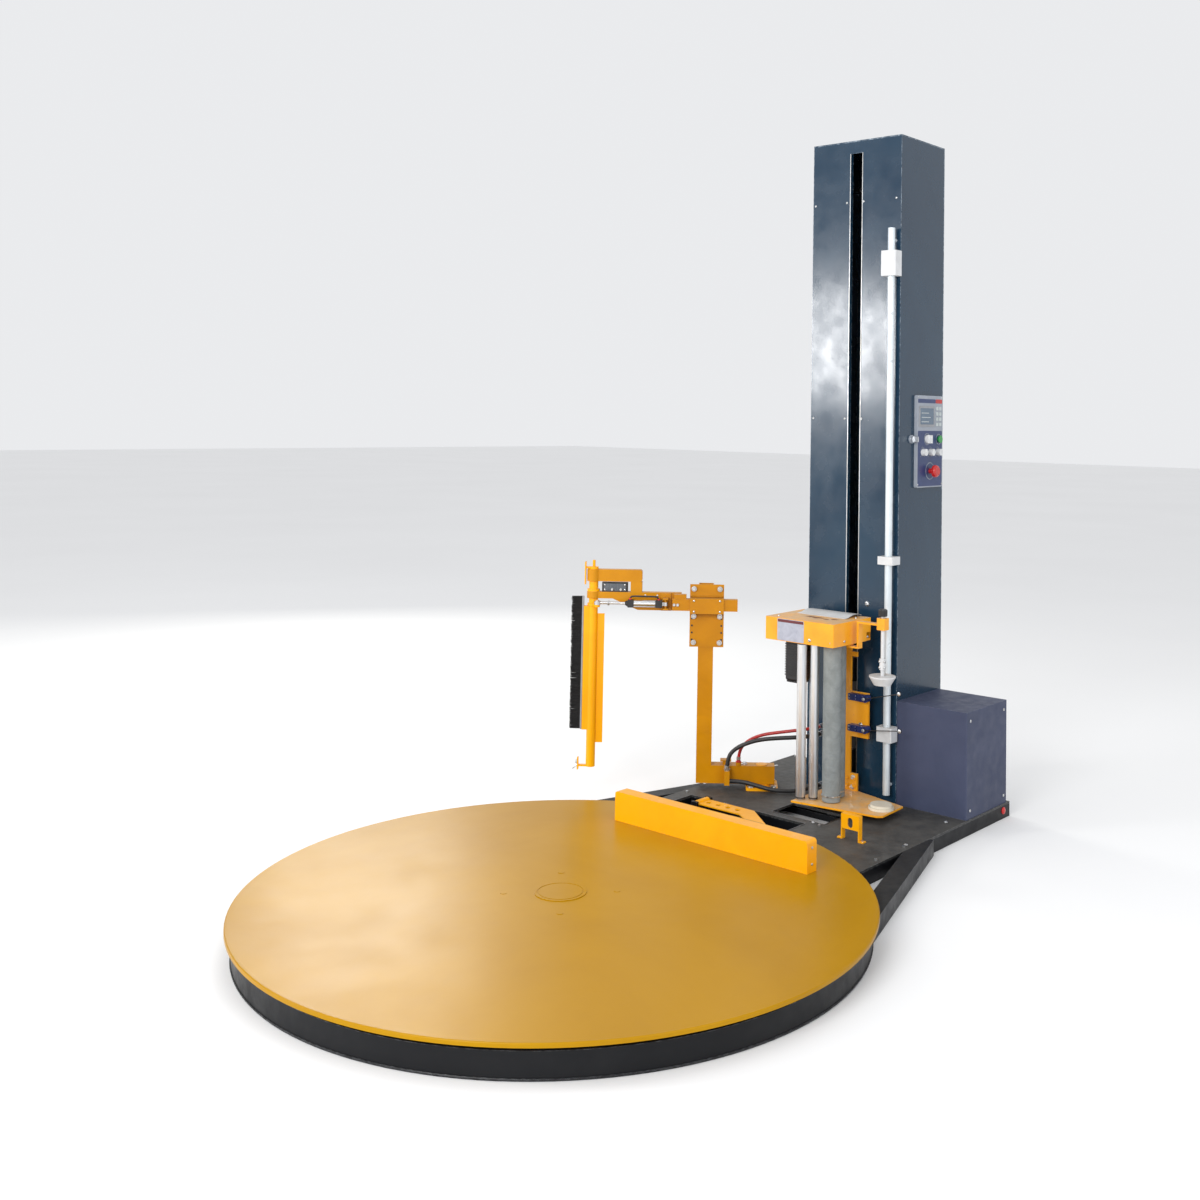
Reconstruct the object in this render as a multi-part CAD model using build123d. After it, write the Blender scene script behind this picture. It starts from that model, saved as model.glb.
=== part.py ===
from build123d import *
from math import acos, atan2, cos, hypot, pi, radians, sin, tan
import os

# Turntable pallet wrapper with a pre-stretch film carriage and a swing-in film wiper.
# Millimetres. The origin is the turntable's axis at floor level, +X points from the
# turntable to the mast, +Z is up, and the control panel is on the -Y side.

# ---------------------------------------------------------------- driving dimensions
# turntable
DISC_RADIUS = 825
DISC_THICKNESS = 10
DISC_TOP = 83
CENTRE_CAP_RADIUS = 68
CENTRE_CAP_HEIGHT = 2
DISC_SCREW_REACH = 104          # from the axis, along X and along Y
FENCE_X = 540
FENCE_CENTRE_Y = -45
FENCE_LENGTH = 719
FENCE_HEIGHT = 88
FENCE_DEPTH = 45
FENCE_SHEET = 5
# base
BASE_RADIUS = 807
RING_HEIGHT = 60
RING_WALL = 5
RING_FLANGE = 35
SPOKE_WIDTH = 50
SPOKE_TOP = 20
SPOKE_COUNT = 8
HUB_FLATS = 300                 # across the flats of the octagonal hub block
SPINDLE_RADIUS = 30
DECK_TOP = 48
DECK_THICKNESS = 6
DECK_HALF_WIDTH = 445
BASE_END_X = 1676
CHANNEL_FLANGE = 42
CHANNEL_WALL = 5
BRACE_WIDTH = 60
BRACE_WALL = 4
BRACE_START_X = 1130
BRACE_ANGLE = 17.5              # between the braces and the X axis, degrees
TROUGH_X = (846, 1001)
TROUGH_Y = (-75, 389)
PIT_X = (1036, 1157)
PIT_Y = (-125, 79)
PAN_SHEET = 3
PAN_FLOOR = 8
# support rollers
SUPPORT_RADIUS = 22
SUPPORT_WIDTH = 24
SUPPORT_REACH = 702             # turntable axis to the middle of a roller
AXLE_RADIUS = 6
# chain drive of the turntable
DRIVE_PITCH = 19.05
RING_TEETH = 49
DRIVE_TEETH = 17
SPROCKET_Z = 25
SPROCKET_THICKNESS = 8
DRIVE_SHAFT_RADIUS = 14
CHAIN_SIDE = 0.5                # link plates to the sprocket's faces
LINK_SHEET = 2.5
# mast
MAST_FRONT_X = 1377
MAST_DEPTH = 296
MAST_WIDTH = 362
MAST_TOP = 2302
MAST_SHEET = 3
SLOT_WIDTH = 47
SLOT_BOTTOM = 70
SLOT_TOP = MAST_TOP - 45
SLOT_LIP = 12
RAIL_GAUGE = 160                # between the rails' webs
RAIL_SHEET = 3
RAIL_INSIDE = 26                # between the rails' flanges
RAIL_STANDOFF = 9
# lift chain
LIFT_PITCH = 15.875
LIFT_TEETH = 15
LIFT_THICKNESS = 6
LIFT_X = 1505
LIFT_BOTTOM_Z = 200
LIFT_TOP_Z = MAST_TOP - 152
LIFT_SHAFT_RADIUS = 10
# drive cover
COVER_LENGTH = 281
COVER_WIDTH = 261
COVER_TOP = 389
COVER_SHEET = 2
DRIVE_SIDE = 102                # drive shaft to the outside of the cover's near wall
# limit pole and its dogs
POLE_X = 1350
POLE_Y = -160
POLE_RADIUS = 12.3
POLE_BORE = 10.3
POLE_BOTTOM = 82
POLE_TOP = MAST_TOP - 324
DOG_SIZE = (44, 58)
DOG_SPANS = ((258, 306), (POLE_TOP - 164, POLE_TOP - 78))
CLIP_SPAN = (843, 870)
# control panel
PANEL_X = (1476, 1650)
PANEL_Z = (1097, 1414)
PANEL_THICKNESS = 12
# film carriage, in its lowest position
CARRIAGE_TRAVEL = 1450
PLATE_TOP = 77
PLATE_THICKNESS = 6
PLATE_CORNERS = ((1095, 46), (1142, -255), (1156, -267), (1288, -261), (1338, -57), (1338, 46))
HEAD_X = (1095, 1323)
HEAD_Y = (-112, 160)
HEAD_Z = (590, 665)
HEAD_SHEET = 2
HEAD_CORNER_CUT = 28
TOP_PLATE_THICKNESS = 8
BACK_X = (1330, 1338)
BACK_Y = (-30, 46)
FOOT_REACH_Y = -58
FOOT_TOP = 135
FLAG_Y = -100
FLAG_Z = (258, 409)
TAB_Y = -53
TAB_Z = (525, 541)
IDLER_PLACES = ((1130, 33), (1154, -1))
IDLER_RADII = (16, 15)
STRETCH_RADIUS = 30
STRETCH_NIP = 8.352             # between the two coats
STRETCH_SLANT = 20.556          # line through the two rollers, from the X axis, degrees
STRETCH_STEP = 2 * STRETCH_RADIUS + STRETCH_NIP
STRETCH_PLACES = (
    (1176, -57),
    (
        1176 + STRETCH_STEP * cos(radians(STRETCH_SLANT)),
        -57 + STRETCH_STEP * sin(radians(STRETCH_SLANT)),
    ),
)
ROLLER_BOTTOM = 80
ROLLER_TOP = 588
JOURNAL_RADIUS = 8
STRETCH_TEETH = (16, 40)
GEAR_THICKNESS = 14
FILM_MOTOR_CORNER = (1150, 54)
FILM_MOTOR_SIDE = 64
FILM_MOTOR_LENGTH = 140
NECK_HALF_WIDTH = 12
NECK_SPANS = ((120, 200), (430, 510))
TROLLEY_X = (1398, 1406)
TROLLEY_HALF_WIDTH = 58
TROLLEY_Z = (100, 540)
SHOE_SPANS = ((110, 170), (470, 530))
SHOE_GAP = 0.4
LUG_Z = (300, 340)
SWITCH_DEPTH = 22
SWITCH_Y = (-106, -32)
SWITCH_HEIGHT = 22
SWITCH_BOTTOMS = (280, 383)
LEVER_REACH = 140
LEVER_RADIUS = 1.6
LEVER_TIP_RADIUS = 7
LEVER_ANGLES = (8, 15)          # above level, degrees
# film chuck
CHUCK_PLACE = (1216, -223)
CHUCK_FLANGE_RADIUS = 41
CHUCK_STEP_RADIUS = 35
CHUCK_STEP = 8
CONE_RADIUS = 43
CONE_TIP_RADIUS = 28
CONE_Z = (472, 497)
ROD_RADIUS = 6
ROD_TOP = 700
COUPLER_Z = (520, 556)
COUPLER_RADIUS = 10
BLOCK_SIDE = 30
BLOCK_Z = (648, 686)
HOOK_WIDTH = 24
HOOK_THICKNESS = 6
HOOK_Y = (-138, -90)
KNOB_RADIUS = 13
# film guide bracket on the deck
GUIDE_X = (957, 975)
GUIDE_Y = (-305, -240)
GUIDE_TOP = 125
GUIDE_SHEET = 4
GUIDE_FOOT = 14
# film wiper: its own frame has its origin on the pivot, and its first axis points
# along the arm, which stands WIPER_ANGLE from +X when it is parked
PIVOT = (1240, 275)
WIPER_ANGLE = 129
PIVOT_RADIUS = 20
PIVOT_PLATE = 110
PIVOT_PLATE_THICKNESS = 10
BEAM_WIDTH = 50
BEAM_WALL = 4
BEAM_Z = (64, 125)
BEAM_ENDS = (-44, 228)
UPRIGHT_SIDE = 53
UPRIGHT_TOP = 745
CASE_S = (140, 258)
CASE_Z = (531, 746)
CASE_SHEET = 4
STRAP_Z = (649, 701)
BOOM_S = (93, 318)
BOOM_Z = (658, 698)
BOOM_WIDTH = 30
PAD_S = (270, 312)
PAD_HEIGHT = 15
STOP_S = (106, 144)
STOP_HEIGHT = 11
YOKE_START_S = 288
YOKE_WIDTH = 30
YOKE_LOWER_Z = (652, 713)
YOKE_UPPER_Z = (749, 790)
YOKE_THIN = 23                  # the lower bar's depth at its eye
YOKE_TAPER_S = (440, 528)
YOKE_LEG_S = (426, 466)
VALVE_S = (476, 566)
WIPER_S = 596
WIPER_RADIUS = 16
WIPER_EYE_WALL = 7
WIPER_Z = (109, 798)
WIPER_SPIKE_TOP = 821
BRUSH_S = (628, 673)
BRUSH_Z = (236, 696)
HOLDER_TOP = 662
BRUSH_WIDTH = 16
BLADE_S = (556, 584)
BLADE_Z = (191, 636)
CRANK_ANGLE = 113
CRANK_LENGTH = 45
CRANK_THICKNESS = 8
CRANK_PIN_RADIUS = 4
CRANK_PIN_PLAY = 3.2            # the rod's eye is slotted wide round the crank's pin
CLEVIS_S = 342
CYLINDER_Z = 678
CYLINDER_RADIUS = 12
CYLINDER_LENGTH = 120
CYLINDER_ROD_RADIUS = 5
ROD_EYE_HALF = 6
# film clamp over the trough
CLAMP_X = (915, 975)
CLAMP_Y = 300
CLAMP_Z = 54
CLAMP_THICKNESS = 4
CLAMP_CORNERS = ((915, 300), (915, 120), (836, 0), (836, -30), (868, -30), (975, 105), (975, 300))
CLAMP_TIP = (840, -160)
# fits
RUNNING = 0.05                  # radial clearance of a shaft in its bore
SEAT = 0.3                      # between curved or moving faces that only meet
# hoses: diameter and the corners of the route
HOSES = {
    "hose_feed": (14, [
        (1357, 104, 240), (1306, 104, 240), (1254, 136, 238), (1222, 194, 232),
        (1186, 256, 222), (1150, 312, 196), (1129, 340.7, 160), (1129, 340.7, 114)]),
    "hose_return": (14, [
        (1134.6, 333.6, 78), (1162.9, 298.6, 78), (1182, 250, 68), (1206, 196, 57),
        (1256, 138, 56), (1312, 104, 66), (1357, 104, 66)]),
    "hose_red": (11, [
        (1357, 108, 264), (1312, 108, 264), (1268, 146, 258), (1240, 206, 246),
        (1214, 258, 234), (1192, 300, 212), (1174, 326, 177), (1174, 326, 137)]),
}
GLAND_LENGTH = 20
MANIFOLD_S = (112, 130)
MANIFOLD_Z = (66, 114)


# ---------------------------------------------------------------- sizes that follow
MAST_BACK_X = MAST_FRONT_X + MAST_DEPTH
MAST_HALF = MAST_WIDTH / 2
MAST_INNER_X = MAST_FRONT_X + MAST_SHEET
DECK_BOTTOM = DECK_TOP - DECK_THICKNESS
DISC_BOTTOM = DISC_TOP - DISC_THICKNESS
COVER_X = (MAST_FRONT_X, MAST_FRONT_X + COVER_LENGTH)
COVER_Y = (-MAST_HALF - COVER_WIDTH, -MAST_HALF)
DRIVE_PLACE = (sum(COVER_X) / 2, COVER_Y[0] + DRIVE_SIDE)
CHUCK_X, CHUCK_Y = CHUCK_PLACE
PANEL_FACE_Y = -MAST_HALF - PANEL_THICKNESS
PLATE_BOTTOM = PLATE_TOP - PLATE_THICKNESS


def pitch_radius(pitch, teeth):
    return pitch / 2 / sin(pi / teeth)


RING_PITCH_RADIUS = pitch_radius(DRIVE_PITCH, RING_TEETH)
DRIVE_PITCH_RADIUS = pitch_radius(DRIVE_PITCH, DRIVE_TEETH)
LIFT_PITCH_RADIUS = pitch_radius(LIFT_PITCH, LIFT_TEETH)


# ---------------------------------------------------------------- shape helpers
def block(x, y, z):
    """A box between pairs of limits."""
    centre = [(a + b) / 2 for a, b in (x, y, z)]
    return Pos(*centre) * Box(*(abs(b - a) for a, b in (x, y, z)))


def post(place, radius, z):
    """An upright cylinder at a place in plan, between two heights."""
    return Pos(place[0], place[1], (z[0] + z[1]) / 2) * Cylinder(radius, z[1] - z[0])


def bar(start, end, radius):
    """A round bar between two points."""
    line = Vector(*end) - Vector(*start)
    return extrude(Plane(origin=start, z_dir=line) * Circle(radius), line.length)


def prism(corners, z):
    """An upright prism on a plan outline."""
    return Pos(0, 0, z[0]) * extrude(make_face(Polyline(*corners, close=True)), z[1] - z[0])


def side_prism(corners, x):
    """A prism along X on an outline of (y, z) corners."""
    outline = Plane.YZ * make_face(Polyline(*corners, close=True))
    return Pos(x[0], 0, 0) * extrude(outline, x[1] - x[0])


def tube_block(x, y, z, wall, axis):
    """A rectangular tube along one axis."""
    limits = [x, y, z]
    inner = [
        pair if i == "XYZ".index(axis) else (pair[0] + wall, pair[1] - wall)
        for i, pair in enumerate(limits)
    ]
    return block(*limits) - block(*inner)


def toothed_outline(teeth, root, tip, root_share, tip_share, phase=0):
    """A wheel's outline; the shares are of half a pitch, each side of a tooth's middle."""
    half = pi / teeth
    corners = []
    for tooth in range(teeth):
        middle = phase + 2 * half * tooth
        for radius, share in (
            (root, -root_share), (tip, -tip_share), (tip, tip_share), (root, root_share)
        ):
            angle = middle + share * half
            corners.append((radius * cos(angle), radius * sin(angle)))
    return make_face(Polyline(*corners, close=True))


def sprocket(teeth, pitch, thickness):
    """A chain sprocket lying on the XY plane."""
    radius = pitch_radius(pitch, teeth)
    outline = toothed_outline(teeth, radius - 0.3 * pitch, radius + 0.25 * pitch, 0.7, 0.2)
    return extrude(outline, thickness)


def loop_outline(first, first_radius, second, second_radius):
    """The outline round two circles and their outer tangents."""
    across, up = second[0] - first[0], second[1] - first[1]
    heading = atan2(up, across)
    spread = acos((first_radius - second_radius) / hypot(across, up))
    ends = []
    for centre, radius, sides in (
        (first, first_radius, (1, -1)), (second, second_radius, (-1, 1))
    ):
        for side in sides:
            angle = heading + side * spread
            ends.append((centre[0] + radius * cos(angle), centre[1] + radius * sin(angle)))
    body = make_face(Polyline(*ends, close=True))
    return body + Pos(*first) * Circle(first_radius) + Pos(*second) * Circle(second_radius)


def chain_loop(first, first_radius, second, second_radius, half_height, spans):
    """Two link-plate bands round two sprockets, lying on the XY plane."""
    ring = loop_outline(first, first_radius + half_height, second, second_radius + half_height)
    ring -= loop_outline(first, first_radius - half_height, second, second_radius - half_height)
    return [Pos(0, 0, low) * extrude(ring, high - low) for low, high in spans]


def chain_pins(first, first_radius, second, second_radius, pitch, radius, z, clear):
    """Cross pins between the bands along both straight strands."""
    across, up = second[0] - first[0], second[1] - first[1]
    heading = atan2(up, across)
    spread = acos((first_radius - second_radius) / hypot(across, up))
    pins = []
    for side in (1, -1):
        angle = heading + side * spread
        start = (first[0] + first_radius * cos(angle), first[1] + first_radius * sin(angle))
        end = (second[0] + second_radius * cos(angle), second[1] + second_radius * sin(angle))
        length = hypot(end[0] - start[0], end[1] - start[1])
        count = int((length - 2 * clear) / pitch)
        for i in range(count + 1):
            share = (clear + i * pitch) / length
            place = [a + share * (b - a) for a, b in zip(start, end)]
            pins.append(post(place, radius, z))
    return pins


def save(name, *shapes):
    """Write one node, made of the solids of all its shapes."""
    solids = [solid for shape in shapes for solid in shape.solids()]
    export_step(Compound(children=solids), f"parts/{name}.step")


def polar(radius, degrees_round):
    return (radius * cos(radians(degrees_round)), radius * sin(radians(degrees_round)))


def hex_bolt(place, z, size=8, height=6):
    """A hexagon head standing on a face at height z."""
    head = Pos(place[0], place[1], z) * extrude(RegularPolygon(size, 6), height)
    return head


# ---------------------------------------------------------------- base
def base_ring():
    """Rolled channel, open towards the axis, with a window for the drive chain."""
    low, high = 0, RING_HEIGHT
    ring = post((0, 0), BASE_RADIUS, (low, high))
    ring -= post((0, 0), BASE_RADIUS - RING_WALL, (low + RING_WALL, high - RING_WALL))
    ring -= post((0, 0), BASE_RADIUS - RING_FLANGE, (low - 1, high + 1))
    window = block((BASE_RADIUS - 120, BASE_RADIUS + 10), (-300, -30), (SPOKE_TOP, DECK_BOTTOM))
    save("base_ring", ring - window)


def support_angles():
    return [45 + 360 / 4 * i for i in range(4)]


def base_frame():
    """Hub block, spokes, roller forks, neck channels, cross members and braces."""
    hub = extrude(RegularPolygon(HUB_FLATS / 2, 8, major_radius=False, rotation=22.5), SPOKE_TOP)
    spoke_end = ((BASE_RADIUS - RING_WALL) ** 2 - (SPOKE_WIDTH / 2) ** 2) ** 0.5
    half_width = SPOKE_WIDTH / 2
    spoke = block((HUB_FLATS / 2, spoke_end), (-half_width, half_width), (RING_WALL, SPOKE_TOP))
    spokes = [Rot(0, 0, 360 / SPOKE_COUNT * i) * spoke for i in range(SPOKE_COUNT)]

    fork_half = SUPPORT_WIDTH / 2 + 2
    cheek = 4
    axle_z = DISC_BOTTOM - SEAT - SUPPORT_RADIUS
    forks = []
    for angle in support_angles():
        low, high = SUPPORT_REACH - fork_half, SUPPORT_REACH + fork_half
        fork = block((low - cheek, high + cheek), (-20, 20), (SPOKE_TOP, SPOKE_TOP + cheek))
        for x in ((low - cheek, low), (high, high + cheek)):
            fork += block(x, (-14, 14), (SPOKE_TOP + cheek, axle_z + 10))
        fork += bar((low - cheek, 0, axle_z), (high + cheek, 0, axle_z), AXLE_RADIUS)
        forks.append(Rot(0, 0, angle) * fork)

    outside = post((0, 0), BASE_RADIUS, (-1, DECK_BOTTOM + 1))
    rails = []
    web = CHANNEL_WALL
    for side in (1, -1):
        outer, inner = side * DECK_HALF_WIDTH, side * (DECK_HALF_WIDTH - CHANNEL_FLANGE)
        y = tuple(sorted((outer, inner)))
        hollow = tuple(sorted((outer - side * web, inner)))
        rail = block((0, BASE_END_X), y, (0, DECK_BOTTOM))
        rail -= block((-1, BASE_END_X + 1), hollow, (web, DECK_BOTTOM - web))
        rails.append((rail - outside).solids().sort_by(Axis.X)[-1])

    inner_half = DECK_HALF_WIDTH - CHANNEL_FLANGE
    cross = []
    for x in ((TROUGH_X[1] + 6, PIT_X[0] - 6), (1200, 1240), (MAST_FRONT_X, MAST_FRONT_X + 40)):
        cross.append(block(x, (-inner_half, inner_half), (0, SPOKE_TOP)))
    rear = (BASE_END_X - 40, BASE_END_X)
    cross.append(block(rear, (-inner_half, inner_half), (0, DECK_BOTTOM)))
    for x in ((1210, 1230), (MAST_FRONT_X + 8, MAST_FRONT_X + 32)):
        for y in ((-60, -20), (200, 240), (340, 380)):
            cross.append(block(x, y, (SPOKE_TOP, DECK_BOTTOM)))

    braces = []
    length = 900
    for side in (1, -1):
        brace = tube_block(
            (-length, 0), (-BRACE_WIDTH / 2, BRACE_WIDTH / 2), (0, DECK_TOP), BRACE_WALL, "X"
        )
        start = Pos(BRACE_START_X, side * (DECK_HALF_WIDTH - BRACE_WIDTH / 4), 0)
        brace = start * Rot(0, 0, -side * BRACE_ANGLE) * brace
        brace -= block((0, BASE_END_X), (-DECK_HALF_WIDTH, DECK_HALF_WIDTH), (-1, DECK_TOP + 1))
        brace -= post((0, 0), BASE_RADIUS, (-1, DECK_TOP + 1))
        braces.append(brace.solids().sort_by(SortBy.VOLUME)[-1])
    save("base_frame", hub, *spokes, *forks, *rails, *cross, *braces)


def deck_plate():
    """Neck cover plate with the clamp trough, the drive pit and the shaft hole."""
    half = DECK_HALF_WIDTH
    plate = block((0, BASE_END_X), (-half, half), (DECK_BOTTOM, DECK_TOP))
    plate -= post((0, 0), BASE_RADIUS, (DECK_BOTTOM - 1, DECK_TOP + 1))
    plate = plate.solids().sort_by(Axis.X)[-1]
    for x, y in ((TROUGH_X, TROUGH_Y), (PIT_X, PIT_Y)):
        plate -= block(x, y, (DECK_BOTTOM - 1, DECK_TOP + 1))
    plate -= post(DRIVE_PLACE, DRIVE_SHAFT_RADIUS + 6, (DECK_BOTTOM - 1, DECK_TOP + 1))
    save("deck_plate", plate)


def centre_spindle():
    save("centre_spindle", post((0, 0), SPINDLE_RADIUS, (SPOKE_TOP, DISC_BOTTOM - 3)))


def clamp_pan():
    """Sheet pan under the trough, with the clamp's pin across it."""
    x = (TROUGH_X[0] - PAN_SHEET, TROUGH_X[1] + PAN_SHEET)
    y = (TROUGH_Y[0] - PAN_SHEET, TROUGH_Y[1] + PAN_SHEET)
    pan = block(x, y, (PAN_FLOOR, DECK_BOTTOM))
    pan -= block(TROUGH_X, TROUGH_Y, (PAN_FLOOR + PAN_SHEET, DECK_BOTTOM + 1))
    floor = PAN_FLOOR + PAN_SHEET
    lugs = [(CLAMP_X[0] - 11, CLAMP_X[0] - 1), (CLAMP_X[1] + 1, CLAMP_X[1] + 11)]
    for lug in lugs:
        pan += block(lug, (CLAMP_Y - 12, CLAMP_Y + 12), (floor, CLAMP_Z + 10))
    pan += bar((lugs[0][0], CLAMP_Y, CLAMP_Z), (lugs[1][1], CLAMP_Y, CLAMP_Z), AXLE_RADIUS)
    save("clamp_pan", pan)


# ---------------------------------------------------------------- turntable
def turntable_disc():
    disc = post((0, 0), DISC_RADIUS, (DISC_BOTTOM, DISC_TOP))
    save("turntable_disc", fillet(disc.edges().group_by(Axis.Z)[-1], 3))


def centre_cap():
    """Raised centre disc with a groove, and the four screws of the hub."""
    top = DISC_TOP + CENTRE_CAP_HEIGHT
    cap = post((0, 0), CENTRE_CAP_RADIUS, (DISC_TOP, top))
    groove = post((0, 0), CENTRE_CAP_RADIUS - 7, (top - 1, top + 1))
    groove -= post((0, 0), CENTRE_CAP_RADIUS - 11, (top - 2, top + 2))
    reach = DISC_SCREW_REACH
    places = [(x, y) for x in (-reach, reach) for y in (-reach, reach)]
    screws = [post(place, 9, (DISC_TOP, DISC_TOP + 1)) for place in places]
    save("centre_cap", cap - groove, *screws)


def fence_plate():
    """Folded fence on the disc: front, top and two end walls."""
    x = (FENCE_X, FENCE_X + FENCE_DEPTH)
    half = FENCE_LENGTH / 2
    y = (FENCE_CENTRE_Y - half, FENCE_CENTRE_Y + half)
    top = DISC_TOP + FENCE_HEIGHT
    fence = block(x, y, (DISC_TOP, top))
    fence = fillet(fence.edges().filter_by(Axis.X).group_by(Axis.Z)[-1], 9)
    hollow = block(
        (x[0] + FENCE_SHEET, x[1] + 1),
        (y[0] + FENCE_SHEET, y[1] - FENCE_SHEET),
        (DISC_TOP - 1, top - FENCE_SHEET),
    )
    save("fence_plate", fence - hollow)


def ring_sprocket():
    """Driven sprocket and the boss that turns on the spindle and carries the disc."""
    wheel = Pos(0, 0, SPROCKET_Z) * sprocket(RING_TEETH, DRIVE_PITCH, SPROCKET_THICKNESS)
    boss = post((0, 0), 2 * SPINDLE_RADIUS, (SPOKE_TOP + 2, DISC_BOTTOM))
    bore = post((0, 0), SPINDLE_RADIUS + RUNNING, (0, DISC_BOTTOM - 2))
    save("ring_sprocket", wheel + boss - bore)


def support_rollers():
    axle_z = DISC_BOTTOM - SEAT - SUPPORT_RADIUS
    low, high = SUPPORT_REACH - SUPPORT_WIDTH / 2, SUPPORT_REACH + SUPPORT_WIDTH / 2
    roller = bar((low, 0, axle_z), (high, 0, axle_z), SUPPORT_RADIUS)
    roller = chamfer(roller.edges().filter_by(GeomType.CIRCLE), 2)
    roller -= bar((low - 1, 0, axle_z), (high + 1, 0, axle_z), AXLE_RADIUS + RUNNING)
    for number, angle in enumerate(support_angles(), 1):
        save(f"support_roller_{number}", Rot(0, 0, angle) * roller)


def drive_sprocket():
    wheel = sprocket(DRIVE_TEETH, DRIVE_PITCH, SPROCKET_THICKNESS)
    wheel = Pos(*DRIVE_PLACE, SPROCKET_Z) * wheel
    shaft = post(DRIVE_PLACE, DRIVE_SHAFT_RADIUS, (SPROCKET_Z - 5, DECK_TOP + 50))
    save("drive_sprocket", wheel + shaft)


def chains():
    """The turntable's drive chain and the carriage's lift chain."""
    teeth_top = SPROCKET_Z + SPROCKET_THICKNESS
    low, high = SPROCKET_Z - CHAIN_SIDE, teeth_top + CHAIN_SIDE
    spans = ((low - LINK_SHEET, low), (high, high + LINK_SHEET))
    sizes = ((0, 0), RING_PITCH_RADIUS, DRIVE_PLACE, DRIVE_PITCH_RADIUS)
    drive = chain_loop(*sizes, 6, spans)
    drive += chain_pins(*sizes, 4 * DRIVE_PITCH, 3, (low, high), 60)

    half = LIFT_THICKNESS / 2 + CHAIN_SIDE
    radius = LIFT_PITCH_RADIUS
    sizes = ((LIFT_X, LIFT_BOTTOM_Z), radius, (LIFT_X, LIFT_TOP_Z), radius)
    lift = chain_loop(*sizes, 5.5, ((-half - 2, -half), (half, half + 2)))
    lift += chain_pins(*sizes, 4 * LIFT_PITCH, 2.5, (-half, half), 60)
    stand = Plane(origin=(0, 0, 0), x_dir=(1, 0, 0), z_dir=(0, -1, 0)).location
    save("chains", *drive, *[stand * piece for piece in lift])


def gearmotors():
    """The turntable's gearmotor on the deck and the lift gearmotor in the mast."""
    x, y = DRIVE_PLACE
    box = block((x - 60, x + 60), (y - 60, y + 60), (DECK_TOP, DECK_TOP + 80))
    box -= post(DRIVE_PLACE, DRIVE_SHAFT_RADIUS + RUNNING, (DECK_TOP - 1, DECK_TOP + 52))
    motor = post(DRIVE_PLACE, 58, (DECK_TOP + 80, DECK_TOP + 270))
    fan = post(DRIVE_PLACE, 62, (DECK_TOP + 270, DECK_TOP + 310))

    z = LIFT_BOTTOM_Z
    half = LIFT_THICKNESS / 2 + 11
    lift_y = (half, half + 90)
    lift_box = block((LIFT_X - 50, LIFT_X + 50), lift_y, (z - 50, z + 50))
    lift_box -= bar(
        (LIFT_X, half - 1, z), (LIFT_X, half + 52, z), LIFT_SHAFT_RADIUS + RUNNING
    )
    lift_motor = post((LIFT_X, half + 50), 46, (z + 50, z + 250))
    shelf = block(
        (LIFT_X - 50, LIFT_X + 50), (lift_y[1], MAST_HALF - MAST_SHEET), (z - 10, z + 10)
    )
    save("gearmotors", box, motor, fan, lift_box, lift_motor, shelf)


# ---------------------------------------------------------------- mast
def mast_shell():
    """Folded front and side walls, with the lipped slot that the carriage runs in."""
    x = (MAST_FRONT_X, MAST_BACK_X - MAST_SHEET)
    y = (-MAST_HALF, MAST_HALF)
    z = (DECK_TOP, MAST_TOP - MAST_SHEET)
    shell = block(x, y, z)
    inner = MAST_HALF - MAST_SHEET
    shell -= block((MAST_INNER_X, x[1] + 1), (-inner, inner), (z[0] - 1, z[1] + 1))
    half = SLOT_WIDTH / 2
    for side in (1, -1):
        lip_y = tuple(sorted((side * half, side * (half + MAST_SHEET))))
        shell += block((MAST_INNER_X, MAST_INNER_X + SLOT_LIP), lip_y, (SLOT_BOTTOM, SLOT_TOP))
    shell -= block((x[0] - 1, MAST_INNER_X + 1), (-half, half), (SLOT_BOTTOM, SLOT_TOP))
    save("mast_shell", shell)


def mast_covers():
    """Back cover and top cap."""
    back_x = (MAST_BACK_X - MAST_SHEET, MAST_BACK_X)
    back = block(back_x, (-MAST_HALF, MAST_HALF), (DECK_TOP, MAST_TOP - MAST_SHEET))
    cap_x = (MAST_FRONT_X, MAST_BACK_X)
    cap = block(cap_x, (-MAST_HALF, MAST_HALF), (MAST_TOP - MAST_SHEET, MAST_TOP))
    save("mast_covers", back, cap)


def guide_rails():
    """Two channel rails, their spacers and the top sprocket's cross axle."""
    front = MAST_INNER_X + RAIL_STANDOFF
    x = (front, front + 2 * RAIL_SHEET + RAIL_INSIDE)
    z = (DECK_TOP, MAST_TOP - MAST_SHEET - 20)
    pieces = []
    for side in (1, -1):
        web = side * RAIL_GAUGE / 2
        inner = web - side * 18
        outer = web + side * RAIL_SHEET
        rail = block(x, tuple(sorted((inner, outer))), z)
        hollow_x = (x[0] + RAIL_SHEET, x[1] - RAIL_SHEET)
        rail -= block(hollow_x, tuple(sorted((inner - side, web))), (z[0] - 1, z[1] + 1))
        pieces.append(rail)
        for height in range(150, int(z[1]), 420):
            spacer_y = tuple(sorted((inner + side * 2, outer)))
            pieces.append(block((MAST_INNER_X, front), spacer_y, (height, height + 40)))
    inside = MAST_HALF - MAST_SHEET
    pieces.append(
        bar((LIFT_X, -inside, LIFT_TOP_Z), (LIFT_X, inside, LIFT_TOP_Z), LIFT_SHAFT_RADIUS)
    )
    save("guide_rails", *pieces)


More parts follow.
